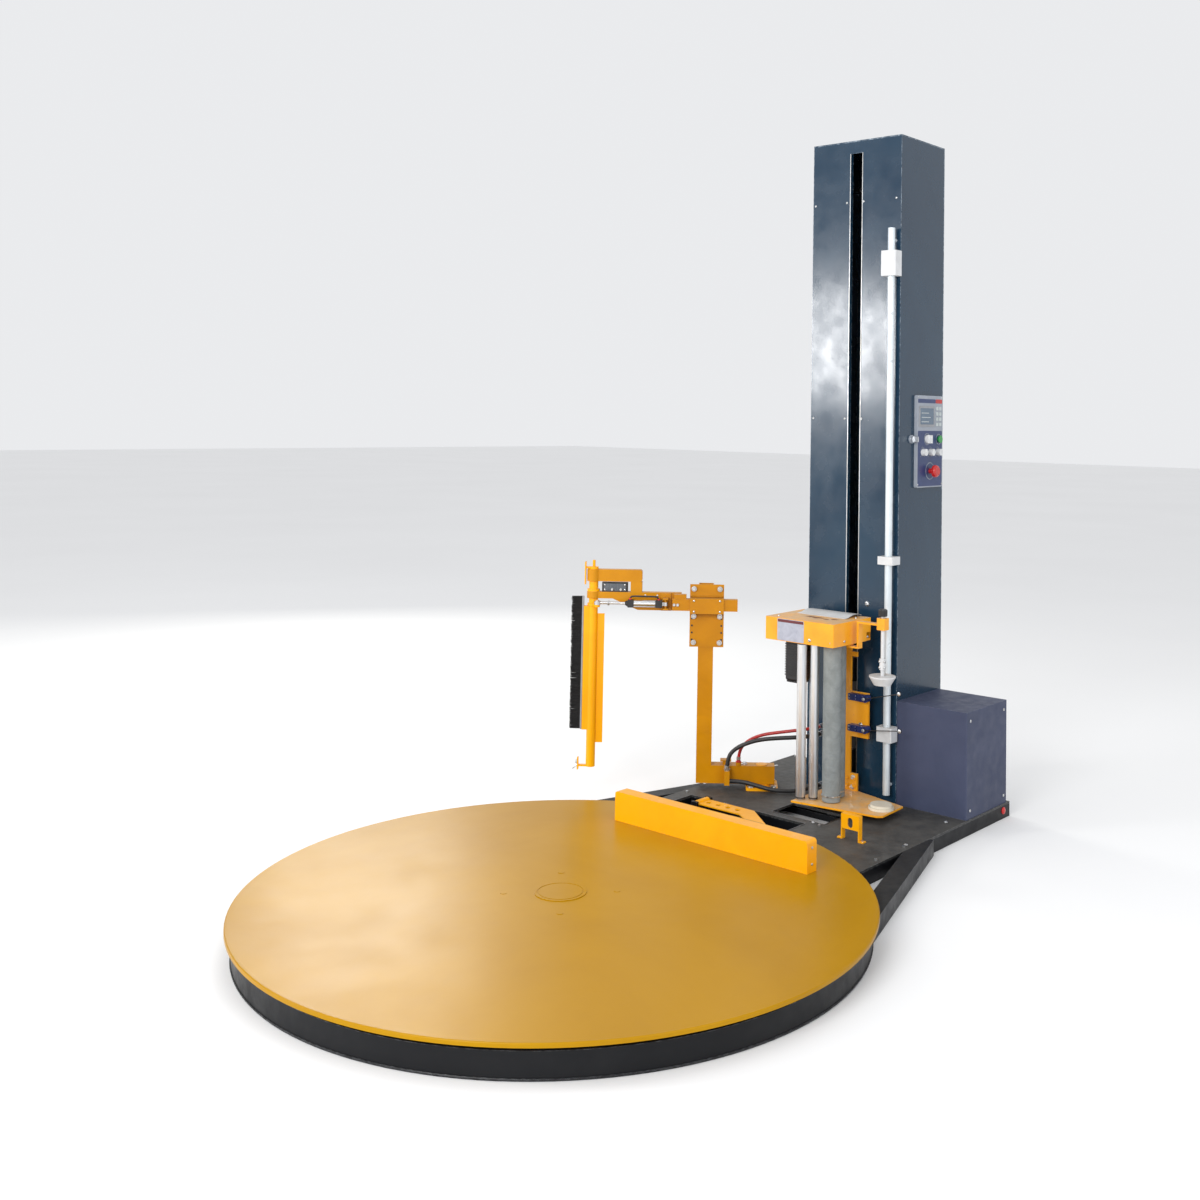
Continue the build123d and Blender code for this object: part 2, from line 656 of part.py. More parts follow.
def lift_sprockets():
    """Bottom sprocket with its shaft, and top sprocket on the cross axle."""
    stand = Plane(origin=(0, 0, 0), x_dir=(1, 0, 0), z_dir=(0, -1, 0)).location
    wheel = Pos(0, 0, -LIFT_THICKNESS / 2) * sprocket(LIFT_TEETH, LIFT_PITCH, LIFT_THICKNESS)
    bottom = Pos(LIFT_X, 0, LIFT_BOTTOM_Z) * stand * wheel
    bottom += bar(
        (LIFT_X, -LIFT_THICKNESS, LIFT_BOTTOM_Z), (LIFT_X, 60, LIFT_BOTTOM_Z), LIFT_SHAFT_RADIUS
    )
    save("lift_drive_sprocket", bottom)
    top = Pos(LIFT_X, 0, LIFT_TOP_Z) * stand * wheel
    bore = LIFT_SHAFT_RADIUS + RUNNING
    top += bar((LIFT_X, -8, LIFT_TOP_Z), (LIFT_X, 8, LIFT_TOP_Z), 18)
    top -= bar((LIFT_X, -20, LIFT_TOP_Z), (LIFT_X, 20, LIFT_TOP_Z), bore)
    save("lift_top_sprocket", top)


def limit_pole():
    """Tube beside the slot, on three stand-offs from the mast's front."""
    tube = post((POLE_X, POLE_Y), POLE_RADIUS, (POLE_BOTTOM, POLE_TOP))
    tube -= post((POLE_X, POLE_Y), POLE_BORE, (POLE_BOTTOM - 1, POLE_TOP + 1))
    standoffs = []
    for z in (POLE_BOTTOM + 30, POLE_TOP - 40):
        pin = bar((POLE_X, POLE_Y, z), (MAST_FRONT_X, POLE_Y, z), 6)
        standoffs.append(pin - post((POLE_X, POLE_Y), POLE_RADIUS, (z - 20, z + 20)))
    save("limit_pole", tube, *standoffs)


def limit_dogs():
    """Two split dogs clamped on the pole, and the clip that holds its middle."""
    bore_radius = POLE_RADIUS
    depth, width = DOG_SIZE
    pieces = []
    for low, high in DOG_SPANS:
        dog = block(
            (POLE_X - depth / 2, POLE_X + depth / 2), (POLE_Y - width / 2, POLE_Y + width / 2),
            (low, high),
        )
        dog = chamfer(dog.edges().filter_by(Axis.Z), 3)
        dog -= post((POLE_X, POLE_Y), bore_radius, (low - 1, high + 1))
        slit = block((POLE_X - 1.5, POLE_X + 1.5), (POLE_Y, POLE_Y + width), (low - 1, high + 1))
        pieces.append(dog - slit)
    clip = block(
        (POLE_X - depth / 2, MAST_FRONT_X), (POLE_Y - width / 2, POLE_Y + width / 2), CLIP_SPAN
    )
    clip -= post((POLE_X, POLE_Y), bore_radius, (CLIP_SPAN[0] - 1, CLIP_SPAN[1] + 1))
    save("limit_dogs", *pieces, clip)


def drive_cover():
    """Sheet box over the turntable's gearmotor, open below."""
    cover = block(COVER_X, COVER_Y, (DECK_TOP, COVER_TOP))
    cover = fillet(cover.edges().filter_by(Axis.Z), 3)
    wall = COVER_SHEET
    cover -= block(
        (COVER_X[0] + wall, COVER_X[1] - wall), (COVER_Y[0] + wall, COVER_Y[1] - wall),
        (DECK_TOP - 1, COVER_TOP - wall),
    )
    save("drive_cover", cover)


# ---------------------------------------------------------------- control panel
PANEL_COLUMNS = (1512, 1563, 1614)
DIAL_Z = 1218
BUTTON_Z = 1263
ESTOP_Z = 1153
KEY_X = 1453


def front_rod(x, z, radius, y):
    """A round piece that stands out of the panel, along Y."""
    return bar((x, y[0], z), (x, y[1], z), radius)


def control_panel():
    """Panel plate with a collar behind each control, and the key switch's own collar."""
    panel = block(PANEL_X, (PANEL_FACE_Y, -MAST_HALF), PANEL_Z)
    panel = fillet(panel.edges().filter_by(Axis.Y), 5)
    holes = [(x, DIAL_Z, 5) for x in PANEL_COLUMNS]
    holes += [(PANEL_COLUMNS[0] + 30, BUTTON_Z, 8), (PANEL_COLUMNS[2] + 8, BUTTON_Z, 8)]
    holes.append((PANEL_COLUMNS[1], ESTOP_Z, 9))
    for x, z, radius in holes:
        panel -= front_rod(x, z, radius + RUNNING, (PANEL_FACE_Y - 1, -MAST_HALF - 2))
    collar = front_rod(KEY_X, BUTTON_Z, 14, (-MAST_HALF - 6, -MAST_HALF))
    collar -= front_rod(KEY_X, BUTTON_Z, 6 + RUNNING, (-MAST_HALF - 7, -MAST_HALF - 1))
    save("control_panel", panel, collar)


def knob_on_stem(x, z, face_y, stem_radius, stem_depth, radius, height, gap=SEAT):
    """A knob whose stem turns or slides in a hole behind it."""
    stem = front_rod(x, z, stem_radius, (face_y - gap - 1, face_y + stem_depth))
    head = front_rod(x, z, radius, (face_y - gap - height, face_y - gap))
    return stem + head


def panel_controls():
    face = PANEL_FACE_Y
    depth = PANEL_THICKNESS - 3
    for number, x in enumerate(PANEL_COLUMNS, 1):
        dial = knob_on_stem(x, DIAL_Z, face, 5, depth, 12, 16)
        mark = block((x - 1.2, x + 1.2), (face - SEAT - 18, face - SEAT - 15), (DIAL_Z, DIAL_Z + 11))
        save(f"dial_{number}", dial + mark)
    x = PANEL_COLUMNS[0] + 30
    selector = knob_on_stem(x, BUTTON_Z, face, 8, depth, 15, 8)
    grip_y = (face - SEAT - 20, face - SEAT - 7)
    selector += block((x - 5, x + 5), grip_y, (BUTTON_Z - 14, BUTTON_Z + 14))
    save("selector_knob", selector)
    x = PANEL_COLUMNS[2] + 8
    start = front_rod(x, BUTTON_Z, 8, (face - 6, face + depth - 5))
    save("start_button", start + front_rod(x, BUTTON_Z, 13, (face - 10, face - 6)))
    x = PANEL_COLUMNS[1]
    stop = front_rod(x, ESTOP_Z, 9, (face - 18, face + depth - 7))
    mushroom = front_rod(x, ESTOP_Z, 21, (face - 32, face - 18))
    mushroom = fillet(mushroom.edges().group_by(Axis.Y)[0], 8)
    save("estop_button", stop + mushroom)
    face = -MAST_HALF - 6
    key = knob_on_stem(KEY_X, BUTTON_Z, face, 6, 4, 11, 6)
    key += block((KEY_X - 2, KEY_X + 2), (face - SEAT - 24, face - SEAT - 5), (BUTTON_Z - 9, BUTTON_Z + 9))
    save("key_switch", key)


# ---------------------------------------------------------------- film carriage
def carriage_frame():
    """Base plate, back plate with its foot and flag, and the head's plate."""
    bore = JOURNAL_RADIUS + RUNNING
    low = (PLATE_BOTTOM, PLATE_TOP)
    plate = prism(PLATE_CORNERS, low)
    places = list(IDLER_PLACES) + list(STRETCH_PLACES)
    for place in places + [CHUCK_PLACE]:
        plate -= post(place, bore, (PLATE_BOTTOM - 1, PLATE_TOP + 1))
    head_bottom = HEAD_Z[0]
    head_x = (HEAD_X[0] + HEAD_SHEET, BACK_X[1])
    head_y = (HEAD_Y[0] + HEAD_SHEET, HEAD_Y[1] - HEAD_SHEET)
    head_top = head_bottom + TOP_PLATE_THICKNESS
    head = block(head_x, head_y, (head_bottom, head_top))
    head -= block((HEAD_X[1] - HEAD_SHEET, BACK_X[1] + 1), (BACK_Y[1], head_y[1] + 1), (0, 999))
    head -= block((HEAD_X[1] - HEAD_SHEET, BACK_X[1] + 1), (head_y[0] - 1, BACK_Y[0]), (0, 999))
    for place in places:
        head -= post(place, bore, (head_bottom - 1, head_top + 1))
    back = block(BACK_X, BACK_Y, (PLATE_TOP, head_bottom))
    foot = block(BACK_X, (FOOT_REACH_Y, BACK_Y[0]), (PLATE_TOP, FOOT_TOP))
    flag = block(BACK_X, (FLAG_Y, BACK_Y[0]), FLAG_Z)
    tab = block(BACK_X, (TAB_Y, BACK_Y[0]), TAB_Z)
    bolts = []
    for z in (PLATE_TOP + 18, PLATE_TOP + 40):
        for y in (-46, -18):
            bolts.append(bar((BACK_X[0] - 4, y, z), (BACK_X[0], y, z), 6))
    save("carriage_frame", plate, head, back, foot, flag, tab, *bolts)


def carriage_housing():
    """Sheet cover of the head, open below, with the near back corner cut."""
    cover = block(HEAD_X, HEAD_Y, HEAD_Z)
    cover = fillet(cover.edges().filter_by(Axis.Z), 4)
    wall = HEAD_SHEET
    cover -= block(
        (HEAD_X[0] + wall, HEAD_X[1] - wall), (HEAD_Y[0] + wall, HEAD_Y[1] - wall),
        (HEAD_Z[0] - 1, HEAD_Z[1] - wall),
    )
    cut = HEAD_CORNER_CUT
    corner = block(
        (HEAD_X[1] - cut, HEAD_X[1] + 1), (HEAD_Y[0] - 1, HEAD_Y[0] + wall + 1),
        (HEAD_Z[0] - 1, HEAD_Z[0] + cut),
    )
    notch = block(
        (HEAD_X[1] - wall - 1, HEAD_X[1] + 1), (BACK_Y[0] - SEAT, BACK_Y[1] + SEAT),
        (HEAD_Z[0] - 1, HEAD_Z[0] + TOP_PLATE_THICKNESS + SEAT),
    )
    save("carriage_housing", cover - corner - notch)


def film_motor():
    """Motor of the stretch rollers, hanging under the head's plate."""
    x, y = FILM_MOTOR_CORNER
    side = FILM_MOTOR_SIDE
    z = (HEAD_Z[0] - FILM_MOTOR_LENGTH, HEAD_Z[0])
    body = block((x, x + side), (y, y + side), z)
    body = fillet(body.edges().filter_by(Axis.Z), 10)
    save("film_motor", fillet(body.edges().group_by(Axis.Z)[0], 8))


def roller(place, radius, top_z):
    """A roller on its journals, from the base plate to above the head's plate."""
    body = post(place, radius, (ROLLER_BOTTOM, ROLLER_TOP))
    return body + post(place, JOURNAL_RADIUS, (PLATE_BOTTOM, top_z))


def rollers():
    head_top = HEAD_Z[0] + TOP_PLATE_THICKNESS
    for number, (place, radius) in enumerate(zip(IDLER_PLACES, IDLER_RADII), 1):
        save(f"idler_roller_{number}", roller(place, radius, head_top))

    first, second = STRETCH_PLACES
    across, up = second[0] - first[0], second[1] - first[1]
    heading = atan2(up, across)
    module = 2 * hypot(across, up) / sum(STRETCH_TEETH)
    gear_z = head_top + 4
    phases = (heading, heading + pi + pi / STRETCH_TEETH[1])
    for number in (0, 1):
        teeth, place = STRETCH_TEETH[number], STRETCH_PLACES[number]
        radius = module * teeth / 2
        outline = toothed_outline(
            teeth, radius - 0.95 * module, radius + 0.75 * module, 0.56, 0.22, phases[number]
        )
        gear = Pos(*place, gear_z) * extrude(outline, GEAR_THICKNESS)
        body = roller(place, STRETCH_RADIUS, gear_z + GEAR_THICKNESS + 6)
        collar = post(place, STRETCH_RADIUS - 6, (PLATE_TOP + 0.5, ROLLER_BOTTOM))
        save(f"stretch_roller_{number + 1}", body + collar + gear)


def trolley():
    """Plate in the mast on four guide shoes, its two necks and the chain lug."""
    limits_y = (-TROLLEY_HALF_WIDTH, TROLLEY_HALF_WIDTH)
    pieces = [block(TROLLEY_X, limits_y, TROLLEY_Z)]
    for span in NECK_SPANS:
        pieces[0] += block(
            (BACK_X[1], TROLLEY_X[0]), (-NECK_HALF_WIDTH, NECK_HALF_WIDTH), span
        )
    strand_x = LIFT_X - LIFT_PITCH_RADIUS - 5.5 - 0.5
    pieces[0] += block((TROLLEY_X[1], strand_x), (-10, 10), LUG_Z)
    rail_x = MAST_INNER_X + RAIL_STANDOFF + RAIL_SHEET
    shoe_x = (rail_x + SHOE_GAP, rail_x + RAIL_INSIDE - SHOE_GAP)
    for span in SHOE_SPANS:
        for side in (1, -1):
            y = (side * TROLLEY_HALF_WIDTH, side * (RAIL_GAUGE / 2 - SHOE_GAP))
            pieces.append(block(shoe_x, tuple(sorted(y)), span))
    save("trolley", *pieces)


def switch_pivot(bottom):
    """Where a limit switch's lever turns, as (y, z)."""
    return (SWITCH_Y[0] + 8, bottom + SWITCH_HEIGHT / 2)


def limit_switches():
    """Two switch bodies on the flag, each with its lever's stub shaft."""
    pieces = []
    x = (BACK_X[0] - SWITCH_DEPTH, BACK_X[0])
    for bottom in SWITCH_BOTTOMS:
        body = block(x, SWITCH_Y, (bottom, bottom + SWITCH_HEIGHT))
        body = fillet(body.edges().filter_by(Axis.X), 4)
        y, z = switch_pivot(bottom)
        body += bar((x[0], y, z), (x[1], y, z), SWITCH_HEIGHT / 2 + 1.5)
        pieces.append(body + bar((x[0] - 6, y, z), (x[0], y, z), 3))
    save("limit_switches", *pieces)


def switch_levers():
    x = BACK_X[0] - SWITCH_DEPTH
    for number, (bottom, angle) in enumerate(zip(SWITCH_BOTTOMS, LEVER_ANGLES), 1):
        y, z = switch_pivot(bottom)
        hub = bar((x - 6, y, z), (x - 1, y, z), 6)
        tip_y, tip_z = y - LEVER_REACH * cos(radians(angle)), z + LEVER_REACH * sin(radians(angle))
        arm = bar((x - 3.5, y, z), (x - 3.5, tip_y, tip_z), LEVER_RADIUS)
        tip = bar((x - 6, tip_y, tip_z), (x - 1, tip_y, tip_z), LEVER_TIP_RADIUS)
        bore = bar((x - 7, y, z), (x, y, z), 3 + RUNNING)
        save(f"switch_lever_{number}", hub + arm + tip - bore)


def chuck_arm():
    """Hooked flat bar from under the head out to the chuck rod's block."""
    x = (CHUCK_X - HOOK_WIDTH / 2, CHUCK_X + HOOK_WIDTH / 2)
    under = HEAD_Z[0] - HOOK_THICKNESS
    t = HOOK_THICKNESS
    arm_top = sum(BLOCK_Z) / 2
    near = CHUCK_Y + BLOCK_SIDE / 2
    far = HOOK_Y[0]
    outline = (
        (HOOK_Y[1], under), (HOOK_Y[1], under - t), (far, under - t), (far, arm_top - t),
        (near, arm_top - t), (near, arm_top), (far + t, arm_top), (far + t, under),
    )
    hook = side_prism(outline, x)
    spacer = block(x, (HOOK_Y[1] - 14, HOOK_Y[1]), (under, HEAD_Z[0]))
    half = BLOCK_SIDE / 2
    holder = block(
        (CHUCK_X - half, CHUCK_X + half), (CHUCK_Y - half, CHUCK_Y + half), BLOCK_Z
    )
    holder = fillet(holder.edges().filter_by(Axis.Z), 3)
    holder -= post(CHUCK_PLACE, ROD_RADIUS + RUNNING, (BLOCK_Z[0] - 1, BLOCK_Z[1] + 1))
    save("chuck_arm", hook, spacer, holder)


def film_disc():
    """Stepped disc that the film core stands on, on its journal in the base plate."""
    low = PLATE_TOP + 0.5
    disc = post(CHUCK_PLACE, CHUCK_FLANGE_RADIUS, (low, low + CHUCK_STEP))
    disc += post(CHUCK_PLACE, CHUCK_STEP_RADIUS, (low + CHUCK_STEP, low + 2 * CHUCK_STEP))
    disc += post(CHUCK_PLACE, JOURNAL_RADIUS, (PLATE_BOTTOM - 8, low))
    save("film_disc", disc)


def chuck_cone():
    """Cone that drops into the top of the core, on its rod with coupler and knob."""
    low, high = CONE_Z
    cone = Pos(CHUCK_X, CHUCK_Y, (low + high) / 2) * Cone(CONE_TIP_RADIUS, CONE_RADIUS, high - low)
    cone += post(CHUCK_PLACE, CONE_RADIUS, (high, high + 4))
    cone += post(CHUCK_PLACE, ROD_RADIUS, (low, ROD_TOP))
    cone += post(CHUCK_PLACE, COUPLER_RADIUS, COUPLER_Z)
    knob = post(CHUCK_PLACE, KNOB_RADIUS, (ROD_TOP - 8, ROD_TOP + 14))
    save("chuck_cone", cone, fillet((knob - post(CHUCK_PLACE, ROD_RADIUS, (0, ROD_TOP))).edges(), 2))


# ---------------------------------------------------------------- deck fittings
def film_guide():
    """Bent bracket that stands on the deck in front of the carriage."""
    x, (y0, y1), sheet = GUIDE_X, GUIDE_Y, GUIDE_SHEET
    guide = block(x, (y0, y1), (DECK_TOP, GUIDE_TOP))
    guide -= block((x[0] - 1, x[1] + 1), (y0 + sheet, y1 - sheet), (DECK_TOP - 1, GUIDE_TOP - sheet))
    for y in ((y0 - GUIDE_FOOT, y0), (y1, y1 + GUIDE_FOOT)):
        guide += block(x, y, (DECK_TOP, DECK_TOP + sheet))
    front = block((x[0], x[0] + sheet), (y0 + sheet, y1 - sheet), (GUIDE_TOP - 44, GUIDE_TOP - sheet))
    middle, z = (y0 + y1) / 2, GUIDE_TOP - 24
    slot = bar((x[0] - 1, middle, z - 6), (x[0] + sheet + 1, middle, z - 6), 9)
    slot += bar((x[0] - 1, middle, z + 6), (x[0] + sheet + 1, middle, z + 6), 9)
    slot += block((x[0] - 1, x[0] + sheet + 1), (middle - 9, middle + 9), (z - 6, z + 6))
    save("film_guide", guide + front - slot)


def deck_fasteners():
    """Bolt heads on the deck and on the wiper's pivot plate."""
    places = [
        (BASE_RADIUS + 210, -120), (BASE_RADIUS + 210, -DECK_HALF_WIDTH + 20), (1310, -432 - 6),
        (BASE_RADIUS + 210, DECK_HALF_WIDTH - 20), (1310, DECK_HALF_WIDTH - 20),
        (BASE_END_X - 20, 260), (BASE_END_X - 20, DECK_HALF_WIDTH - 20), (860, -DECK_HALF_WIDTH + 20),
    ]
    heads = [hex_bolt(place, DECK_TOP, 5, 4) for place in places if place[0] < 1300 or place[1] > 0]
    for x in (GUIDE_X[0] + 9,):
        for y in (GUIDE_Y[0] - GUIDE_FOOT / 2, GUIDE_Y[1] + GUIDE_FOOT / 2):
            heads.append(hex_bolt((x, y), DECK_TOP + GUIDE_SHEET, 4.5, 4))
    plate_top = DECK_TOP + PIVOT_PLATE_THICKNESS
    wiper = wiper_frame()
    for s in (-1, 1):
        for t in (-1, 1):
            corner = wiper * Pos(s * (PIVOT_PLATE / 2 - 12), t * (PIVOT_PLATE / 2 - 12), 0)
            heads.append(hex_bolt(tuple(corner.position)[:2], plate_top, 7, 5))
    save("deck_fasteners", *heads)


# ---------------------------------------------------------------- film wiper
def wiper_frame():
    return Pos(*PIVOT, 0) * Rot(0, 0, WIPER_ANGLE)


def pivot_bracket():
    """Plate on the deck with the pin that the wiper arm swings on."""
    half = PIVOT_PLATE / 2
    top = DECK_TOP + PIVOT_PLATE_THICKNESS
    plate = block((-half, half), (-half, half), (DECK_TOP, top))
    plate = fillet(plate.edges().filter_by(Axis.Z), 10)
    pin = post((0, 0), PIVOT_RADIUS, (top, BEAM_Z[1] + 2))
    collar = post((0, 0), PIVOT_RADIUS + 10, (top, BEAM_Z[0] - 0.5))
    save("pivot_bracket", wiper_frame() * (plate + pin + collar))


def crank_pin():
    """The crank's pin in the wiper frame, as (s, offset)."""
    return (WIPER_S + CRANK_LENGTH * cos(radians(CRANK_ANGLE)), CRANK_LENGTH * sin(radians(CRANK_ANGLE)))


def eye_top():
    """The top of the crank, on which the cylinder's rod eye lies."""
    return CYLINDER_Z - ROD_EYE_HALF - SEAT


def wiper_arm():
    """Beam, upright, case, boom and the yoke that carries the wiper's post."""
    half = BEAM_WIDTH / 2
    wall = BEAM_WALL
    beam = block(BEAM_ENDS, (-half, half), BEAM_Z)
    beam -= block(
        (PIVOT_RADIUS + 14, BEAM_ENDS[1] - wall), (-half + wall, half - wall),
        (BEAM_Z[0] + wall, BEAM_Z[1] - wall),
    )
    beam -= post((0, 0), PIVOT_RADIUS + RUNNING, (BEAM_Z[0] - 1, BEAM_Z[1] + 1))
    upright_s = (BEAM_ENDS[1] - UPRIGHT_SIDE, BEAM_ENDS[1])
    upright = tube_block(upright_s, (-half, half), (BEAM_Z[1], UPRIGHT_TOP), wall, "Z")
    case_y = (half, half + CASE_SHEET)
    case = block(CASE_S, case_y, CASE_Z)
    boom_y = (case_y[1], case_y[1] + BOOM_WIDTH)
    boom = tube_block(BOOM_S, boom_y, BOOM_Z, wall, "X")
    strap = block(CASE_S, (boom_y[0], boom_y[1] + 5), STRAP_Z)
    strap -= block((CASE_S[0] - 1, CASE_S[1] + 1), (boom_y[0] - 1, boom_y[1]), BOOM_Z)
    bolts = []
    for s in (CASE_S[0] + 14, CASE_S[1] - 14):
        for z in (CASE_Z[0] + 16, STRAP_Z[0] - 12, CASE_Z[1] - 14):
            bolts.append(bar((s, case_y[1], z), (s, case_y[1] + 7, z), 6))

    y = (-YOKE_WIDTH / 2, YOKE_WIDTH / 2)
    low, top = YOKE_LOWER_Z
    thin = top - YOKE_THIN
    side = Plane.XZ * make_face(Polyline(
        (YOKE_START_S, low), (YOKE_TAPER_S[0], low), (YOKE_TAPER_S[1], thin),
        (YOKE_TAPER_S[1], top), (YOKE_START_S, top), close=True,
    ))
    eye = WIPER_RADIUS + WIPER_EYE_WALL
    bore = post((WIPER_S, 0), WIPER_RADIUS + RUNNING, (low, WIPER_SPIKE_TOP))
    lower = Pos(0, y[1], 0) * extrude(side, YOKE_WIDTH)
    tongue = block((YOKE_TAPER_S[1], WIPER_S), y, (thin, top))
    tongue = tongue + post((WIPER_S, 0), eye, (thin, top)) - bore
    leg = block(YOKE_LEG_S, y, (top, YOKE_UPPER_Z[0]))
    upper = block((YOKE_LEG_S[0], WIPER_S), y, YOKE_UPPER_Z)
    upper = fillet(upper.edges().filter_by(Axis.Y).group_by(Axis.X)[0], 8)
    upper = upper + post((WIPER_S, 0), eye, YOKE_UPPER_Z) - bore
    joiner = block((YOKE_START_S, BOOM_S[1]), (y[1], boom_y[0]), BOOM_Z)

    pin_s, offset = CLEVIS_S, crank_pin()[1]
    clevis = block((pin_s - 18, pin_s + 18), (y[1], y[1] + 5), (low, top))
    ears_z = (
        (CYLINDER_Z - CYLINDER_RADIUS - 8, CYLINDER_Z - CYLINDER_RADIUS - 3),
        (CYLINDER_Z + CYLINDER_RADIUS + 3, CYLINDER_Z + CYLINDER_RADIUS + 8),
    )
    for z in ears_z:
        clevis += block((pin_s - 9, pin_s + 9), (y[1] + 5, offset + 10), z)
    clevis += post((pin_s, offset), CRANK_PIN_RADIUS, (ears_z[0][0], ears_z[1][1]))
    manifold = block(MANIFOLD_S, (half, half + 33), MANIFOLD_Z)
    x, y, z = HOSES["hose_red"][1][-1]
    elbow = wiper_frame().inverse() * post((x, y), 9, (BEAM_Z[1], z))
    stop_s, stop_z = STOP_S, BEAM_Z[1]
    stop = block((stop_s[0] + 8, stop_s[1] - 8), (-12, 12), (stop_z, stop_z + STOP_HEIGHT))
    stop += block(stop_s, (-15, 15), (stop_z + STOP_HEIGHT, stop_z + STOP_HEIGHT + 5))
    pad = block(PAD_S, (boom_y[0] + 3, boom_y[1] - 3), (BOOM_Z[1], BOOM_Z[1] + PAD_HEIGHT))
    pieces = [beam, upright, case, boom, strap, lower, tongue, leg, upper, joiner, clevis]
    pieces += [manifold, elbow, stop, pad, *bolts]
    save("wiper_arm", *[wiper_frame() * piece for piece in pieces])


def wiper_valve():
    """Valve on the yoke's lower bar, inside its window."""
    z = (YOKE_LOWER_Z[1], YOKE_UPPER_Z[0] - 4)
    body = block(VALVE_S, (-YOKE_WIDTH / 2 + 2, YOKE_WIDTH / 2 - 2), z)
    body = fillet(body.edges().filter_by(Axis.Z), 3)
    save("wiper_valve", wiper_frame() * body)


def wiper_post():
    """Turning post with its crank, brush holder, blade, top plate and foot hook."""
    place = (WIPER_S, 0)
    shaft = post(place, WIPER_RADIUS, WIPER_Z)
    solid_cut = post(place, WIPER_RADIUS, (0, WIPER_SPIKE_TOP))
    shaft += post(place, 5, (WIPER_Z[1], WIPER_SPIKE_TOP))
    low, top = YOKE_LOWER_Z
    shaft += post(place, WIPER_RADIUS + 6, (top + SEAT, top + SEAT + 8))

    pin_s, offset = crank_pin()
    crank_top = eye_top()
    crank_z = (crank_top - CRANK_THICKNESS, crank_top)
    plate = block((0, CRANK_LENGTH), (-9, 9), crank_z)
    crank = Pos(WIPER_S, 0, 0) * Rot(0, 0, CRANK_ANGLE) * plate
    crank += post((pin_s, offset), 9, crank_z) + post(place, WIPER_RADIUS + 5, crank_z)
    crank += post((pin_s, offset), CRANK_PIN_RADIUS, (crank_z[0], CYLINDER_Z + CYLINDER_ROD_RADIUS + 5))

    half = BRUSH_WIDTH / 2
    holder_z = (BRUSH_Z[0], HOLDER_TOP)
    holder = block((WIPER_S, BRUSH_S[0]), (-half - 3, half + 3), holder_z) - solid_cut
    blade = block((BLADE_S[0], WIPER_S), (-1.5, 1.5), BLADE_Z) - solid_cut
    plate_s = WIPER_S + WIPER_RADIUS + WIPER_EYE_WALL + 4
    stay = block((WIPER_S, plate_s), (-9, 9), (YOKE_UPPER_Z[1] + 2, WIPER_Z[1])) - solid_cut
    flag = block((plate_s, plate_s + 4), (-13, 13), (YOKE_LOWER_Z[1] + 24, YOKE_UPPER_Z[1] + 25))
    hook_z = WIPER_Z[0]
    hook = block((WIPER_S, WIPER_S + 46), (-8, 8), (hook_z, hook_z + 5)) - solid_cut
    hook += block((WIPER_S + 41, WIPER_S + 46), (-8, 8), (hook_z - 11, hook_z + 30))
    pieces = [shaft + crank + stay + flag + hook + holder + blade]
    save("wiper_post", *[wiper_frame() * piece for piece in pieces])


def wiper_brush():
    half = BRUSH_WIDTH / 2
    save("wiper_brush", wiper_frame() * block(BRUSH_S, (-half, half), BRUSH_Z))


def wiper_cylinder():
    """Barrel on the clevis pin, and the rod that slides in it and works the crank."""
    offset = crank_pin()[1]
    z = CYLINDER_Z
    start = CLEVIS_S + 12
    nose = start + CYLINDER_LENGTH
    barrel = bar((start, offset, z), (nose, offset, z), CYLINDER_RADIUS)
    eye_z = (z - 6, z + 6)
    barrel += post((CLEVIS_S, offset), 9, eye_z)
    barrel += block((CLEVIS_S, start), (offset - 6, offset + 6), eye_z)
    barrel -= post((CLEVIS_S, offset), CRANK_PIN_RADIUS + RUNNING, (z - 9, z + 9))
    bore = CYLINDER_ROD_RADIUS + RUNNING
    barrel -= bar((start + 10, offset, z), (nose + 1, offset, z), bore)
    save("wiper_cylinder", wiper_frame() * barrel)

    pin_s = crank_pin()[0]
    play = CRANK_PIN_RADIUS + CRANK_PIN_PLAY
    rod = bar((start + 40, offset, z), (pin_s, offset, z), CYLINDER_ROD_RADIUS)
    rod += post((pin_s, offset), play + 4, (z - ROD_EYE_HALF, z + ROD_EYE_HALF))
    rod -= post((pin_s, offset), play, (z - 9, z + 9))
    save("cylinder_rod", wiper_frame() * rod)


# ---------------------------------------------------------------- film clamp and hoses
def clamp_arm():
    """Cranked plate with holes over the trough, on its hinge barrel, and the tip bar."""
    z = (CLAMP_Z, CLAMP_Z + CLAMP_THICKNESS)
    plate = prism(CLAMP_CORNERS, z)
    middle = sum(CLAMP_X) / 2
    barrel = bar((CLAMP_X[0], CLAMP_Y, CLAMP_Z), (CLAMP_X[1], CLAMP_Y, CLAMP_Z), AXLE_RADIUS + 5)
    plate += barrel
    plate -= bar(
        (CLAMP_X[0] - 1, CLAMP_Y, CLAMP_Z), (CLAMP_X[1] + 1, CLAMP_Y, CLAMP_Z), AXLE_RADIUS + RUNNING
    )
    for y in (150, 190, 230, 270):
        plate -= post((middle, y), 9, (z[0] - 1, z[1] + 1))
    height = CLAMP_Z + CLAMP_THICKNESS / 2
    tip = bar((852, -20, height), (*CLAMP_TIP, height), 4)
    save("clamp_arm", plate + tip)


def hose_line(name, corners):
    """The route's line: straight runs joined by tangent arcs."""
    points = [Vector(*corner) for corner in corners]
    radii = []
    for before, here, after in zip(points, points[1:], points[2:]):
        first, second = here - before, after - here
        turn = radians(first.get_angle(second))
        radii.append(0.45 * min(first.length, second.length) / tan(turn / 2))
    print(name, "bend radii", [round(radius, 1) for radius in radii])
    return FilletPolyline(*corners, radius=radii)


